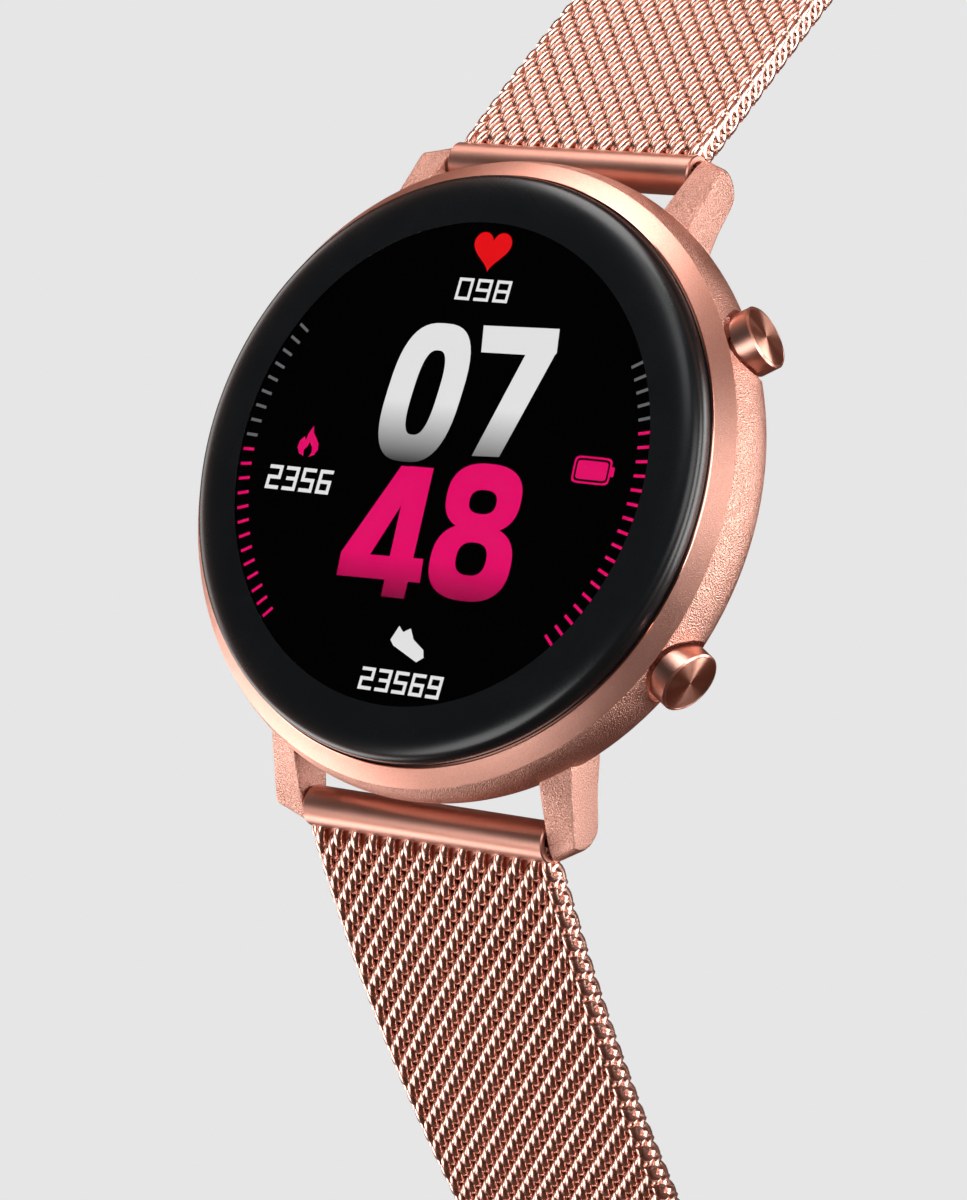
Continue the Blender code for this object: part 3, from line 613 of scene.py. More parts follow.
# %% Front pieces
FRAME_PROFILE = [(19.78, 9.92), (18.95, 9.92), (18.95, 9.0), (19.70, 9.0), (19.70, 9.465), (21.18, 9.465),
                 (21.20, 9.475), (21.20, 9.50), (21.16, 9.535), (20.06, 10.34), (19.78, 10.34)]
LIP_PROFILE = [(20.06, 10.345), (20.05, 10.40), (20.00, 10.44), (19.90, 10.44), (19.86, 10.40),
               (19.86, 10.345)]
GLASS_PROFILE = [(0.0, 11.74), (16.43, 11.74), (16.43, 11.97), (0.0, 11.97)]
DISPLAY_PROFILE = [(0.0, 10.08), (15.75, 10.08), (15.75, 10.96), (16.456, 10.98), (16.456, 11.965),
                   (16.436, 11.965), (16.436, 11.66), (0.0, 11.66)]
RING_IN, RING_OUT, RING_LOW, RING_TOP, RING_POWER = 16.46, 19.85, 10.46, 12.0, 3.8


def bezel_profile():
    """Closed profile of the ring: a quarter of |x|^3.8 + |y|^3.8 = 1 from the outer edge up to the glass."""
    turn = np.radians(np.linspace(90.0, 0.0, 72))
    across = RING_IN + (RING_OUT - RING_IN) * np.sin(turn) ** (2.0 / RING_POWER)
    up = RING_LOW + (RING_TOP - RING_LOW) * np.abs(np.cos(turn)) ** (2.0 / RING_POWER)
    seat = [(16.30, 12.0), (16.30, 11.975), (16.46, 11.975), (16.46, 10.94), (15.9, 10.94), (15.9, 10.0),
            (19.70, 10.0), (19.70, 10.38), (19.85, 10.38)]
    return list(zip(across, up)) + seat


add_piece("bezel_frame_satin", *turned(FRAME_PROFILE, 256), ROSE_FINE, "case", ("bezel_frame",), "rose_satin")
add_piece("bezel_lip", *turned(LIP_PROFILE, 256), ROSE_POLISH, "case", (), "rose_satin")
add_piece("bezel_ceramic_ring", *turned(bezel_profile(), 256), BEZEL_CERAMIC, "case", ("bezel_ring",),
          "black_gloss")
add_piece("cover_glass_disc", *turned(GLASS_PROFILE, 192), COVER_GLASS, "case", ("cover_glass",),
          "cover_glass")
add_piece("display_bonded", *turned(DISPLAY_PROFILE, 128), DISPLAY_BLACK, "case", ("display_panel",),
          "display")
print("ring", RING_OUT, "mm in radius and", RING_TOP - RING_LOW, "mm tall")

# %% [markdown]
# ## What the display shows
# The picture is light, not paint, so its figures glow by themselves. Each is a flat outline lying just over
# the display: rings for rounded figures, strokes for the small ones, and sampled curves for the signs. The
# large figures fade towards their lower ends, which their material does with a gradient along twelve to six
# o'clock.

# %% Flat outlines
DIAL_Z = 11.69


def glow_material(name, colour, strength=1.0, fade=None):
    """A glowing colour. A fade gives the heights, in millimetres, where it goes from full to nearly none."""
    made, tree, shader = new_material(name, Roughness=0.5, Emission_Strength=strength)
    shader.inputs["Base Color"].default_value = (0.0, 0.0, 0.0, 1.0)
    place = node(tree, "ShaderNodeTexCoord").outputs["Object"]
    height = node(tree, "ShaderNodeSeparateXYZ", {0: place}).outputs["Y"]
    high, low = fade or (-0.02 / MM, -0.021 / MM)
    share = node(tree, "ShaderNodeMapRange", {"Value": height, "From Min": low * MM, "From Max": high * MM})
    dim = tuple(0.02 * part for part in colour[:3]) + (1.0,)
    feed(tree, blend_colour(tree, share.outputs[0], dim, colour), shader, "Emission Color")
    return made


def flat(outline, lift=0.0):
    """A thin plate over the display, closed all round, from a closed outline (x, y)."""
    outline = np.asarray(outline, dtype=float)
    low = np.column_stack((outline, np.full(len(outline), DIAL_Z + lift)))
    high = low + (0.0, 0.0, 0.01)
    return loft([low, high])


def flat_ring(outer, inner, lift=0.0):
    """A thin closed ring between two outlines with the same number of points."""
    z = DIAL_Z + lift
    rows = [np.column_stack((line, np.full(len(line), height))) for line, height in
            ((outer, z), (outer, z + 0.01), (inner, z + 0.01), (inner, z))]
    points = np.concatenate(rows)
    return points, [grid_faces(4, len(outer), close_rows=True, close_cols=True)]


def oval(centre, half, power=2.4, lean=0.0, count=48):
    """Superellipse outline that leans by a share of its height."""
    turn = np.linspace(0.0, 2.0 * math.pi, count, endpoint=False)
    x = half[0] * np.sign(np.cos(turn)) * np.abs(np.cos(turn)) ** (2.0 / power)
    y = half[1] * np.sign(np.sin(turn)) * np.abs(np.sin(turn)) ** (2.0 / power)
    return np.column_stack((centre[0] + x + lean * y, centre[1] + y))


def stroke(start, end, width):
    """A straight bar from one point to another, with square ends half a width longer."""
    start, end = np.asarray(start, float), np.asarray(end, float)
    along = (end - start) / np.linalg.norm(end - start) * width / 2.0
    side = np.array((-along[1], along[0]))
    return flat([start - along - side, end + along - side, end + along + side, start - along + side])


DIGIT_LINES = {
    "0": ((0, 0, 1, 0), (1, 0, 1, 2), (1, 2, 0, 2), (0, 2, 0, 0)),
    "2": ((0, 2, 1, 2), (1, 2, 1, 1), (1, 1, 0, 1), (0, 1, 0, 0), (0, 0, 1, 0)),
    "3": ((0, 2, 1, 2), (1, 2, 1, 0), (0, 0, 1, 0), (0.2, 1, 1, 1)),
    "5": ((1, 2, 0, 2), (0, 2, 0, 1), (0, 1, 1, 1), (1, 1, 1, 0), (1, 0, 0, 0)),
    "6": ((1, 2, 0, 2), (0, 2, 0, 0), (0, 0, 1, 0), (1, 0, 1, 1), (1, 1, 0, 1)),
    "8": ((0, 0, 1, 0), (1, 0, 1, 2), (1, 2, 0, 2), (0, 2, 0, 0), (0, 1, 1, 1)),
    "9": ((1, 1, 0, 1), (0, 1, 0, 2), (0, 2, 1, 2), (1, 2, 1, 0), (1, 0, 0, 0)),
}


def small_number(text, left, bottom, width, height, line, lean=0.07):
    """Strokes of a row of plain segment figures between a left edge and a total width."""
    pitch = width / (len(text) - 0.22)
    bars = []
    for place, figure in enumerate(text):
        for x0, y0, x1, y1 in DIGIT_LINES[figure]:
            x = left + place * pitch
            size = (0.78 * pitch - line, (height - line) / 2.0)
            shift = (x + line / 2.0, bottom + line / 2.0)
            bars.append(stroke((shift[0] + x0 * size[0], shift[1] + y0 * size[1]),
                               (shift[0] + x1 * size[0], shift[1] + y1 * size[1]), line))
    points, faces = joined(*bars)
    points[:, 0] += lean * (points[:, 1] - bottom)
    return points, faces


def radial_ticks(first, step, count, inner=15.3, outer=16.2, width=0.2):
    """Short bars that point at the middle, one every few degrees."""
    bars = []
    for angle in np.radians(first + step * np.arange(count)):
        toward = np.array((math.cos(angle), math.sin(angle)))
        bars.append(stroke(toward * (inner + width / 2), toward * (outer - width / 2), width))
    return joined(*bars)


# %% Figures and signs
WHITE, GREY = (1.0, 1.0, 1.0, 1.0), (0.16, 0.16, 0.17, 1.0)
MAGENTA, RED = (1.0, 0.0, 0.17, 1.0), (1.0, 0.0, 0.004, 1.0)
GLOW_WHITE = glow_material("glow_white", WHITE, 1.0)
GLOW_GREY = glow_material("glow_grey", GREY, 1.0)
GLOW_MAGENTA = glow_material("glow_magenta", MAGENTA, 1.0)
GLOW_RED = glow_material("glow_red", RED, 1.0)
GLOW_HOURS = glow_material("glow_hours", WHITE, 1.0, (3.9, -0.3))
GLOW_MINUTES = glow_material("glow_minutes", MAGENTA, 1.0, (-6.4, -10.2))


def add_glow(name, shape, material):
    """Adds a glowing figure to the dial."""
    return add_piece(name, *shape, material, "case", (), "display")


t = np.linspace(0.0, 2.0 * math.pi, 60, endpoint=False)
lobes = 13 * np.cos(t) - 5 * np.cos(2 * t) - 2 * np.cos(3 * t) - np.cos(4 * t)
heart = np.column_stack((16 * np.sin(t) ** 3, lobes))
add_glow("dial_heart", flat(heart * (1.5 / 16) + (0.48, 14.6)), GLOW_RED)
flame = np.array([(0.10, 1.08), (0.22, 0.62), (0.52, 0.28), (0.80, -0.08), (0.86, -0.50), (0.62, -0.88),
                  (0.22, -1.04), (0.40, -0.72), (0.34, -0.36), (0.05, -0.02), (-0.05, -0.34),
                  (-0.30, -0.60), (-0.24, -1.02), (-0.62, -0.86), (-0.86, -0.46), (-0.78, 0.0),
                  (-0.46, 0.32), (-0.30, 0.06), (-0.22, 0.48)])
add_glow("dial_flame", flat(flame + (-10.85, 0.55)), GLOW_MAGENTA)
shoe = [(-0.67, -11.95), (-0.2, -10.98), (0.2, -11.35), (0.75, -11.05), (1.15, -11.75), (2.1, -12.35),
        (2.25, -12.85), (1.75, -13.2), (0.7, -12.75), (-0.35, -12.3)]
add_glow("dial_shoe", flat(shoe), GLOW_WHITE)
battery = joined(flat_ring(oval((12.05, 0.55), (1.46, 0.90), 7.0), oval((12.05, 0.55), (1.33, 0.77), 7.0)),
                 flat(oval((12.05, 0.55), (1.18, 0.62), 9.0)), flat(oval((13.62, 0.57), (0.14, 0.32), 5.0)))
add_glow("dial_battery", battery, GLOW_MAGENTA)
add_glow("dial_pulse_number", small_number("098", -1.66, 11.02, 4.25, 1.5, 0.21), GLOW_WHITE)
add_glow("dial_energy_number", small_number("2356", -13.7, -2.9, 5.35, 1.65, 0.25), GLOW_WHITE)
add_glow("dial_step_number", small_number("23569", -2.45, -15.42, 6.55, 1.5, 0.23), GLOW_WHITE)
zero = flat_ring(oval((-2.37, 4.6), (3.0, 4.75), 2.8, 0.10), oval((-2.3, 4.6), (1.02, 2.9), 2.8, 0.10))
add_glow("dial_hour_tens", zero, GLOW_HOURS)
seven_top = flat([(1.18, 9.42), (7.2, 9.6), (7.38, 8.0), (7.2, 7.75), (1.45, 7.62)])
seven_leg = flat([(4.98, 7.7), (7.25, 7.78), (4.67, 0.81), (2.52, 0.7)], 0.004)
add_glow("dial_hour_units", joined(seven_top, seven_leg), GLOW_HOURS)
four = joined(flat([(-2.2, -0.4), (-0.27, -0.37), (-0.33, -9.18), (-2.2, -9.2)]),
              flat([(-6.19, -6.6), (0.5, -6.42), (0.65, -8.01), (-6.15, -8.16)], 0.004),
              flat([(-2.87, -0.43), (-2.17, -0.43), (-2.17, -3.03), (-3.83, -6.57), (-6.19, -6.6)], 0.008))
add_glow("dial_minute_tens", four, GLOW_MINUTES)
eight = joined(flat_ring(oval((4.2, -1.98), (2.95, 2.28), 2.5), oval((4.2, -2.25), (1.08, 0.80), 2.5)),
               flat_ring(oval((4.25, -6.3), (3.2, 2.55), 2.5), oval((4.25, -6.05), (1.2, 1.1), 2.5), 0.004))
add_glow("dial_minute_units", eight, GLOW_MINUTES)
for side, first, step, grey, lit in (("left", 148.4, 3.66, 9, 13), ("right", 29.2, -3.42, 5, 17)):
    add_glow(f"dial_ticks_{side}_grey", radial_ticks(first, step, grey), GLOW_GREY)
    add_glow(f"dial_ticks_{side}", radial_ticks(first + grey * step, step, lit), GLOW_MAGENTA)

# %% [markdown]
# ## Push buttons
# Each button is a short round cap on a stem. Its side and its narrow chamfer are satin, and its face is
# spun: the tool leaves circles so fine that they only show as two bright fans. The fans come from an
# anisotropic gloss whose grain runs round the button, so the material works out the direction round the
# button's own axis.

# %% Button shapes and the spun face
def make_spun(name, centre):
    """Spun metal: the grain runs round the centre, so the gloss stretches along point - centre."""
    made, tree, shader = new_material(name, Metallic=1.0, Anisotropic=0.9, Roughness=0.3)
    place = node(tree, "ShaderNodeTexCoord").outputs["Object"]
    arm = node(tree, "ShaderNodeVectorMath", {0: place, 1: centre}, operation="SUBTRACT").outputs[0]
    spread = node(tree, "ShaderNodeVectorMath", {0: arm}, operation="NORMALIZE").outputs[0]
    radius = node(tree, "ShaderNodeVectorMath", {0: arm}, operation="LENGTH").outputs["Value"]
    rings = node(tree, "ShaderNodeTexNoise", {"W": radius, "Scale": 9000.0, "Detail": 2.0},
                 noise_dimensions="1D")
    wear = placed(tree, HANDLING, Smear=0.05, Hairline=0.0, Base=0.30)
    feed(tree, blend_colour(tree, rings.outputs["Fac"], (0.66, 0.32, 0.22, 1.0), ROSE), shader, "Base Color")
    feed(tree, wear["Roughness"], shader, "Roughness")
    feed(tree, spread, shader, "Tangent")
    return made


CAP_PROFILE = [(0.0, 17.75), (0.66, 17.75), (0.9, 17.80), (0.9, 21.35), (2.10, 21.35), (2.175, 21.42),
               (2.175, 22.73), (2.06, 22.85), (1.99, 22.85), (1.97, 22.82), (0.0, 22.82)]
FACE_PROFILE = [(0.0, 22.825), (1.955, 22.825), (1.965, 22.835), (1.94, 22.85), (0.0, 22.85)]
FACE_PLACE = 22.84
for name in BUTTON_ANGLES:
    matrix = button_matrix(name)
    axis = tuple(matrix.col[2][:3])
    centre = tuple(MM * (FACE_PLACE * part) for part in axis[:2]) + (BUTTON_Z * MM,)
    body = f"{name}_push_button"
    points, faces = turned(CAP_PROFILE, 96)
    add_piece(f"{name}_button_cap", moved(points, matrix), faces, ROSE_CAP, body, (f"{name}_button",),
              "rose_satin")
    points, faces = turned(FACE_PROFILE, 96)
    spun = make_spun(f"rose_spun_{name}", centre)
    add_piece(f"{name}_button_face", moved(points, matrix), faces, spun, body, (), "rose_satin")
    print(name, "button axis", [round(part, 3) for part in axis])

# %% [markdown]
# ## The path of each strap
# A strap is a flat band that follows a curved line in the plane x = 0. The line leaves the spring bar at an
# angle below level that grows with the distance s along it. Summing short steps along that angle gives the
# line itself, and turning the direction a quarter round gives the normal out of the band. Both are tabled
# once and read between the table's entries, so that thousands of points can be carried onto the band
# together.

# %% Strap path as tables
PIVOT_Y, PIVOT_Z = 22.56, 3.85
STRAPS = {
    "upper": {"side": 1.0, "start": 33.0, "bends": ((20.0, 0.100), (72.0, 0.850)), "pitch": 0.888,
              "end": 72.0, "pinch": 0.30, "joints": (2.9, 16.4, 30.0, 43.5, 57.0)},
    "lower": {"side": -1.0, "start": 44.0, "bends": ((60.0, 0.326), (86.0, 0.700)), "pitch": 0.925,
              "end": 116.0, "pinch": 0.05, "joints": (3.0, 16.0, 29.0, 42.0, 56.0, 70.0, 86.0)},
}


def strap_tables(strap, reach=120.0, step=0.05):
    """Distance, angle below level, y and z along a strap, by running sums of cos and sin of the angle."""
    s = np.arange(0.0, reach, step)
    angle, low = np.full(len(s), strap["start"]), 0.0
    for high, rate in strap["bends"]:
        angle = angle + rate * np.clip(s - low, 0.0, high - low)
        low = high
    angle = np.radians(angle)
    middle = (angle[1:] + angle[:-1]) / 2.0
    y = PIVOT_Y + np.concatenate(([0.0], np.cumsum(step * np.cos(middle))))
    z = PIVOT_Z - np.concatenate(([0.0], np.cumsum(step * np.sin(middle))))
    return s, angle, strap["side"] * y, z


for strap in STRAPS.values():
    strap["tables"] = strap_tables(strap)


def on_strap(strap, u, s, n):
    """Points at u across, s along and n out of a strap: line(s) + u across + n normal(s)."""
    place, angle, y, z = strap["tables"]
    turn = np.interp(s, place, angle)
    beyond = np.minimum(s, 0.0)
    py = np.interp(s, place, y) + strap["side"] * beyond * np.cos(turn) + n * strap["side"] * np.sin(turn)
    pz = np.interp(s, place, z) - beyond * np.sin(turn) + n * np.cos(turn)
    return np.stack((strap["side"] * u, py, pz), -1)


print("upper strap ends at", on_strap(STRAPS["upper"], 0.0, 72.0, 0.0).round(1))

# %% [markdown]
# ## Woven wire
# A band of this kind is woven from flattened coils. Each coil runs across the band, its turns 1.47 mm apart,
# and is screwed through its neighbours half a turn out of step, so rows of short slanting strands cover each
# other like scales. Here each coil is a flattened helix: it moves steadily across, swings along the band as
# a cosine and in and out as a sine. At the band's edges the last half turn stays at the edge, which leaves
# the hook-shaped ends. The wire's section is an octagon round the helix, and its outermost parts are pressed
# flat, as rolling does.

# %% Coils of wire, a whole stretch at a time
TURN = 1.47
SWING, RISE, WIRE = 0.92, 0.58, 0.36
MESH_LIFT, HALF_THICK = 0.28, 0.90
BAND_HALF, PINCH_LENGTH = 9.84, 4.0


def half_width(strap, s):
    """Half the width of the band, narrower by pinch x exp(-s / length) beside the tube."""
    return BAND_HALF - strap["pinch"] * np.exp(-s / PINCH_LENGTH)


def coil_section(strap, rows, odd, sides=8, per_turn=14):
    """Places (u, s, n) on the wire of several coils: helix centre + radius x section ring."""
    reach = 9.9 + 0.5 * TURN
    count = int(2.0 * reach / TURN * per_turn)
    phase = np.linspace(-reach, reach, count)[None, :] * 2.0 * math.pi / TURN + odd[:, None] * math.pi
    straight = np.linspace(-reach, reach, count)[None, :] + 0.0 * phase
    limit = half_width(strap, rows)[:, None] - WIRE
    u = np.clip(straight, -limit, limit)
    v, n = -SWING * np.cos(phase), RISE * np.sign(np.sin(phase)) * np.abs(np.sin(phase)) ** 0.9
    advance = np.full_like(u, TURN / (2 * math.pi))
    tangent = np.stack((advance, SWING * np.sin(phase), RISE * np.cos(phase)), -1)
    tangent /= np.linalg.norm(tangent, axis=-1, keepdims=True)
    normal = np.stack((0.0 * u, -RISE * np.cos(phase), SWING * np.sin(phase)), -1)
    normal /= np.linalg.norm(normal, axis=-1, keepdims=True)
    side = np.cross(tangent, normal)
    ring = np.linspace(0.0, 2.0 * math.pi, sides, endpoint=False)
    centre = np.stack((u, rows[:, None] + v, n), -1)[:, :, None, :]
    across, along = np.cos(ring)[:, None] * normal[:, :, None, :], np.sin(ring)[:, None] * side[:, :, None, :]
    shell = centre + WIRE * (across + along)
    shell[..., 2] = np.clip(shell[..., 2], -HALF_THICK, HALF_THICK)
    return shell


def coil_faces(coils, count, sides=8):
    """Grid faces of one coil's tube with both ends closed, repeated for every coil."""
    tube = grid_faces(count, sides, close_cols=True)
    caps = np.stack((np.arange(sides)[::-1], (count - 1) * sides + np.arange(sides)))
    shift = (np.arange(coils) * count * sides)[:, None, None]
    return [(tube[None] + shift).reshape(-1, 4), (caps[None] + shift).reshape(-1, sides)]


def add_coils(name, strap, rows, odd, body, stands_for):
    """Weaves the coils whose rows lie on one stretch of the band."""
    shell = coil_section(strap, rows, odd)
    coils, count, sides = shell.shape[:3]
    points = on_strap(strap, shell[..., 0], shell[..., 1], shell[..., 2] + MESH_LIFT).reshape(-1, 3)
    faces = coil_faces(coils, count, sides)
    return add_piece(name, points, faces, ROSE_WIRE_PAINTED_LIGHT, body, stands_for, "rose_mesh", 60.0)


for name, strap in STRAPS.items():
    rows = np.arange(1.75, strap["end"] - 0.55, strap["pitch"])
    odd = np.arange(len(rows)) % 2
    cuts = (-1.0,) + strap["joints"] + (strap["end"] + 1.0,)
    for number, (low, high) in enumerate(zip(cuts[:-1], cuts[1:])):
        chosen = (rows >= low) & (rows < high)
        body = f"{name}_strap_end" if number == 0 else f"{name}_band_{number}"
        replaced = () if number == 0 else (f"{name}_mesh_{number}",)
        add_coils(f"{name}_wire_{number}", strap, rows[chosen], odd[chosen], body, replaced)
    print(name, "strap:", len(rows), "coils")

# %% [markdown]
# ## Strap ends
# The mesh is pinched in a satin tube that turns on the spring bar. The tube is a turned ring with broken
# edges, and a slot under it lets the release knob slide. A flat tongue inside the first coils carries the
# load into the tube.

# %% End tubes
def bar_matrix(side):
    """Matrix whose Z runs along a spring bar, towards three o'clock, in millimetres."""
    return Matrix.Translation((0.0, side * PIVOT_Y, PIVOT_Z)) @ Matrix.Rotation(math.radians(90.0), 4, "Y")


def strap_block(strap, u, s, n, edge=0.08):
    """A block between two values of u, s and n, its section across the band with small chamfers."""
    (u0, u1), (s0, s1), (n0, n1) = u, s, n
    outline = [(u0 + edge, n0), (u1 - edge, n0), (u1, n0 + edge), (u1, n1 - edge), (u1 - edge, n1),
               (u0 + edge, n1), (u0, n1 - edge), (u0, n0 + edge)]
    across, out = np.array(outline).T
    return loft([on_strap(strap, across, np.full(8, s), out) for s in (s0, s1)])


TUBE_PROFILE = [(0.95, -9.8), (1.29, -9.8), (1.375, -9.71), (1.375, 9.71), (1.29, 9.8), (0.95, 9.8),
                (0.93, 9.7), (0.93, -9.7)]
for name, strap in STRAPS.items():
    points, faces = turned(TUBE_PROFILE, 72)
    tube = add_piece(f"{name}_tube", moved(points, bar_matrix(strap["side"])), faces, ROSE_TUBE,
                     f"{name}_strap_end", (f"{name}_end_tube",), "rose_satin")
    slot = (7.1, 11.0) if strap["side"] > 0.0 else (-11.0, -7.1)
    drilled(tube, [strap_block(strap, slot, (-0.65, 0.65), (-2.0, -0.2))])
    tongue = strap_block(strap, (-9.2, 9.2), (1.0, 2.4), (MESH_LIFT - 0.2, MESH_LIFT + 0.2))
    add_piece(f"{name}_tongue", *tongue, ROSE_TUBE, f"{name}_strap_end", (), "rose_satin")

# %% [markdown]
# ## The back
# The back is a turned steel plate round a domed sensor window of dark glass, held by four screws and with
# two gold contacts. The plate has its screw and contact holes cut in, and the window's edge is a gentle arc
# so that it rests softly on the wrist.

# %% Case back and sensor window
BACK_PROFILE = [(9.58, 2.62), (9.58, 0.98), (9.66, 0.9), (16.42, 0.9), (16.6, 0.97), (16.83, 1.22),
                (16.9, 1.42), (16.9, 2.62), (14.3, 2.62), (14.3, 2.2), (13.7, 2.2), (13.7, 2.62)]
SCREW_SPOTS = [(15.45 * math.cos(a), 15.45 * math.sin(a)) for a in np.radians((45.0, 135.0, 225.0, 315.0))]
back = add_piece("case_back_plate", *turned(BACK_PROFILE, 192), STEEL_SATIN, "case", ("case_back",), "steel")
hole, hole_faces = turned([(0.0, 3.0), (0.56, 3.0), (0.56, 1.5), (0.88, 1.5), (0.88, 0.5), (0.0, 0.5)], 32)
contact, contact_faces = turned([(0.0, 3.0), (0.95, 3.0), (0.95, 0.5), (0.0, 0.5)], 32)
cuts = [(hole + (x, y, 0.0), hole_faces) for x, y in SCREW_SPOTS]
cuts += [(contact + (x, -11.6, 0.0), contact_faces) for x in (-2.3, 2.3)]
drilled(back, cuts)
dome = corner_arc((7.0, 2.4), 2.4, -90.0, -20.0, 12)
WINDOW_PROFILE = [(0.0, 0.9), (8.7, 0.9), (8.7, 3.1), (10.3, 3.1), (10.3, 2.7), (9.5, 2.7)]
WINDOW_PROFILE += [(9.5, 1.1)] + [(r + 0.24, z) for r, z in dome[::-1] if z < 1.0] + [(0.0, 0.0)]
add_piece("sensor_window_dome", *turned(WINDOW_PROFILE, 144), SENSOR_GLASS, "case", ("sensor_window",),
          "sensor_glass")

# %% [markdown]
# ## Finishes for the parts that stay as they are
# The small and hidden parts are already the right shape, so they keep their solids and only get their
# finish.

# %% Materials of the carried-over nodes
KEPT = {"case_gasket": RUBBER, "battery": BATTERY_FOIL}
KEPT.update(dict.fromkeys(("display_carrier", "upper_switch", "lower_switch"), BLACK_PLASTIC))
KEPT.update(dict.fromkeys(("main_board", "sensor_board"), CIRCUIT_BOARD))
KEPT.update(dict.fromkeys(("charge_contact_left", "charge_contact_right"), GOLD_CONTACT))
KEPT.update(dict.fromkeys(("upper_end_loop", "lower_end_cap"), ROSE_SATIN))
KEPT.update(dict.fromkeys(("clasp_body", "clasp_cover", "clasp_flap"), ROSE_SATIN))
KEPT.update(dict.fromkeys(("vibration_motor", "clasp_cover_pin", "clasp_flap_pin"), STEEL_POLISH))
for end in ("upper", "lower"):
    for part in ("button_clip", "button_sleeve", "spring_bar", "bar_pin_left", "bar_pin_right"):
        KEPT[f"{end}_{part}"] = STEEL_POLISH
KEPT.update({f"back_screw_{number}": STEEL_POLISH for number in range(1, 5)})
for name, material in KEPT.items():
    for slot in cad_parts[name].material_slots:
        slot.material = material
bare = [name for name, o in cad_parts.items() if not o.hide_render and name not in KEPT]
print("nodes kept", len(KEPT), "without a finish", bare)

# %% [markdown]
# ## Camera, floor and light
# The camera looks down on the dial from the right, a long lens at about a third of a metre. The floor is a
# plain pale sheet that is clear from below. Polished metal shows whatever is round it, so the light comes
# from a few large soft panels: their size and place make the bright and dark bands, and the world between
# them is dim.

# %% Camera and floor
BACKDROP = (0.791, 0.791, 0.791, 1.0)


def add_camera():
    """Camera from its place and its right, up and back directions."""
    data = bpy.data.cameras.new("camera")
    data.sensor_width, data.lens, data.clip_end = 36.0, 141.63, 10.0
    camera = bpy.data.objects.new("camera", data)
    bpy.context.scene.collection.objects.link(camera)
    axes = ((0.8077, 0.2139, -0.5494), (-0.1003, 0.9681, 0.2295), (0.5810, -0.1302, 0.8034))
    matrix = Matrix(axes).transposed().to_4x4()
    matrix.translation = (0.1821, -0.0481, 0.2554)
    camera.matrix_world = matrix
    bpy.context.scene.camera = camera


def make_floor_material():
    """Pale sheet: even to the camera, dark to everything that mirrors it, and clear from below."""
    made, tree, shader = new_material("pale_sheet", Roughness=0.9)
    shader.inputs["Base Color"].default_value = (0.08, 0.03, 0.018, 1.0)
    even = node(tree, "ShaderNodeEmission", {"Color": BACKDROP, "Strength": 1.0})
    seen = node(tree, "ShaderNodeLightPath").outputs["Is Camera Ray"]
    both = node(tree, "ShaderNodeMixShader", {0: seen, 1: shader.outputs[0], 2: even.outputs[0]})
    under = node(tree, "ShaderNodeNewGeometry").outputs["Backfacing"]
    clear = node(tree, "ShaderNodeBsdfTransparent")
    whole = node(tree, "ShaderNodeMixShader", {0: under, 1: both.outputs[0], 2: clear.outputs[0]})
    tree.links.new(whole.outputs[0], tree.nodes["Material Output"].inputs["Surface"])
    return made


def add_floor(level):
    """A wide sheet just under the object."""
    corner = 3000.0
    points = np.array([(-corner, -corner, level), (corner, -corner, level), (corner, corner, level),
                       (-corner, corner, level)])
    mesh = bpy.data.meshes.new("floor")
    mesh.from_pydata(points * MM, [], [(0, 1, 2, 3)])
    mesh.materials.append(make_floor_material())
    floor = bpy.data.objects.new("floor", mesh)
    bpy.context.scene.collection.objects.link(floor)


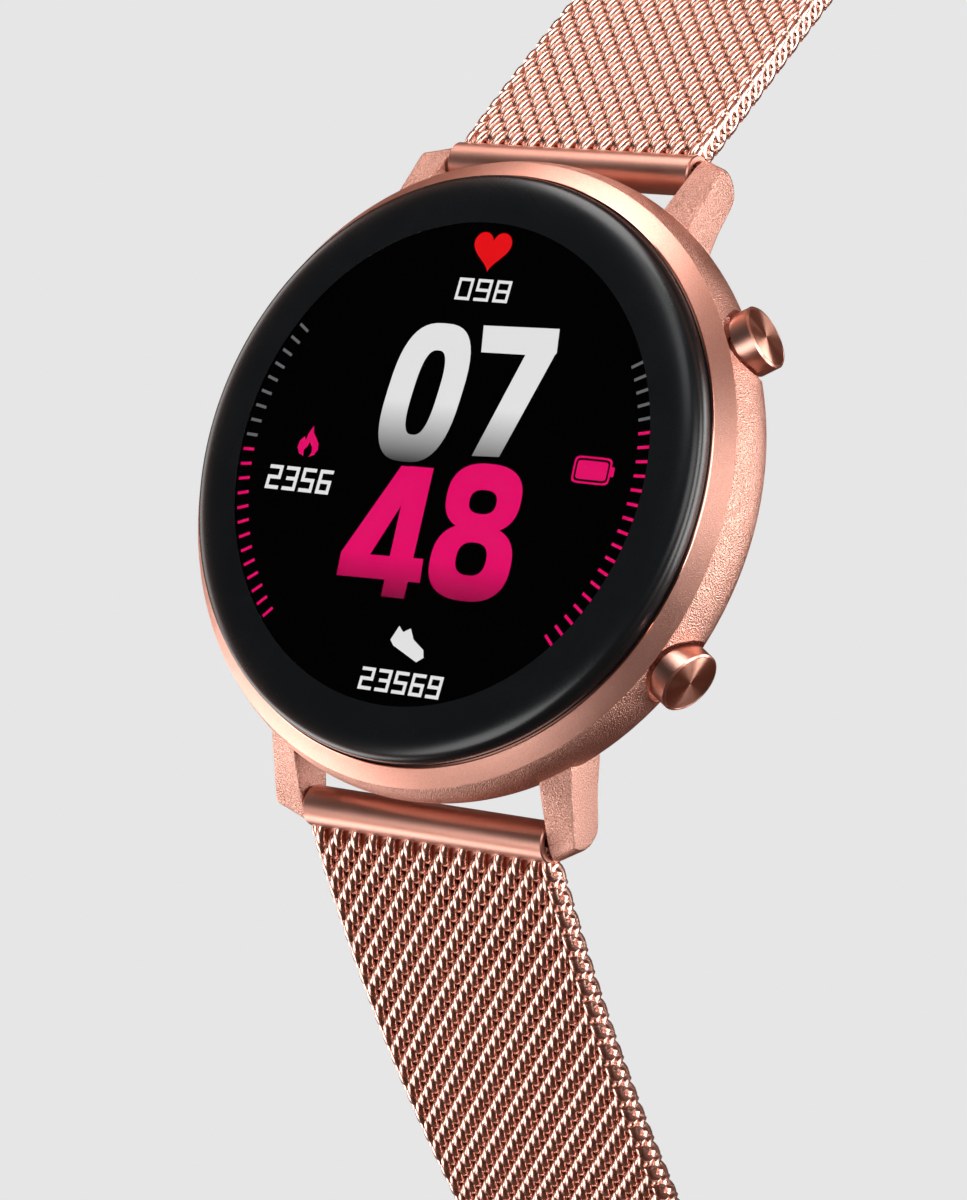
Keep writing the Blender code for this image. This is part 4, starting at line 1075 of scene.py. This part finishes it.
def add_panel(name, place, size, brightness):
    """A soft rectangular light that faces the watch, unseen itself. Its power is 4 x area x brightness."""
    data = bpy.data.lights.new(name, "AREA")
    data.shape, data.size, data.size_y = "RECTANGLE", size[0], size[1]
    data.energy = 4.0 * size[0] * size[1] * brightness
    panel = bpy.data.objects.new(name, data)
    bpy.context.scene.collection.objects.link(panel)
    panel.location = place
    panel.rotation_euler = (-Vector(place)).to_track_quat("-Z", "Y").to_euler()
    panel.visible_camera = False


def make_world():
    """A warm dim room to every mirror, darker overhead and in front, and an even pale grey to the camera."""
    world = bpy.data.worlds.new("studio")
    world.use_nodes = True
    tree = world.node_tree
    toward = node(tree, "ShaderNodeTexCoord").outputs["Generated"]
    up = node(tree, "ShaderNodeSeparateXYZ", {0: toward}).outputs["Z"]
    room = ramp(tree, up, ((0.0, (0.60, 0.27, 0.17, 1.0)), (0.30, (0.46, 0.20, 0.125, 1.0)),
                           (0.62, (0.010, 0.010, 0.010, 1.0))))
    front = node(tree, "ShaderNodeVectorMath", {0: toward, 1: (0.30, -0.95, 0.05)}, operation="DOT_PRODUCT")
    flag = node(tree, "ShaderNodeMapRange", {"Value": front.outputs["Value"], "From Min": 0.45,
                                             "From Max": 0.80}).outputs[0]
    room = blend_colour(tree, flag, room, (0.07, 0.035, 0.025, 1.0))
    seen = node(tree, "ShaderNodeLightPath").outputs["Is Camera Ray"]
    colour = blend_colour(tree, seen, room, BACKDROP)
    tree.links.new(colour, tree.nodes["Background"].inputs["Color"])
    return world


add_camera()
add_floor(CAD_BOX[0][2] / MM - 0.5)
scene = bpy.context.scene
scene.view_settings.view_transform = "Standard"
scene.world = make_world()
PANELS = {
    "back": ((-0.13, 0.48, 0.27), (0.30, 0.40), 3.9),
    "top": ((-0.06, 0.27, 0.53), (0.20, 0.20), 1.4),
    "right": ((0.50, 0.07, 0.06), (0.40, 0.22), 4.4),
    "right_above": ((0.34, 0.10, 0.42), (0.24, 0.28), 2.0),
    "front": ((-0.12, -0.33, 0.42), (0.30, 0.28), 2.7),
    "left": ((-0.50, 0.08, 0.06), (0.40, 0.20), 1.8),
    "front_left": ((-0.42, -0.42, 0.02), (0.36, 0.20), 2.4),
    "low_left": ((-0.22, -0.14, -0.09), (0.20, 0.22), 2.2),
    "low": ((0.118, 0.03, -0.098), (0.14, 0.12), 5.0),
}
for name, (place, size, brightness) in PANELS.items():
    add_panel(f"panel_{name}", place, size, brightness)
print("panels", list(PANELS))
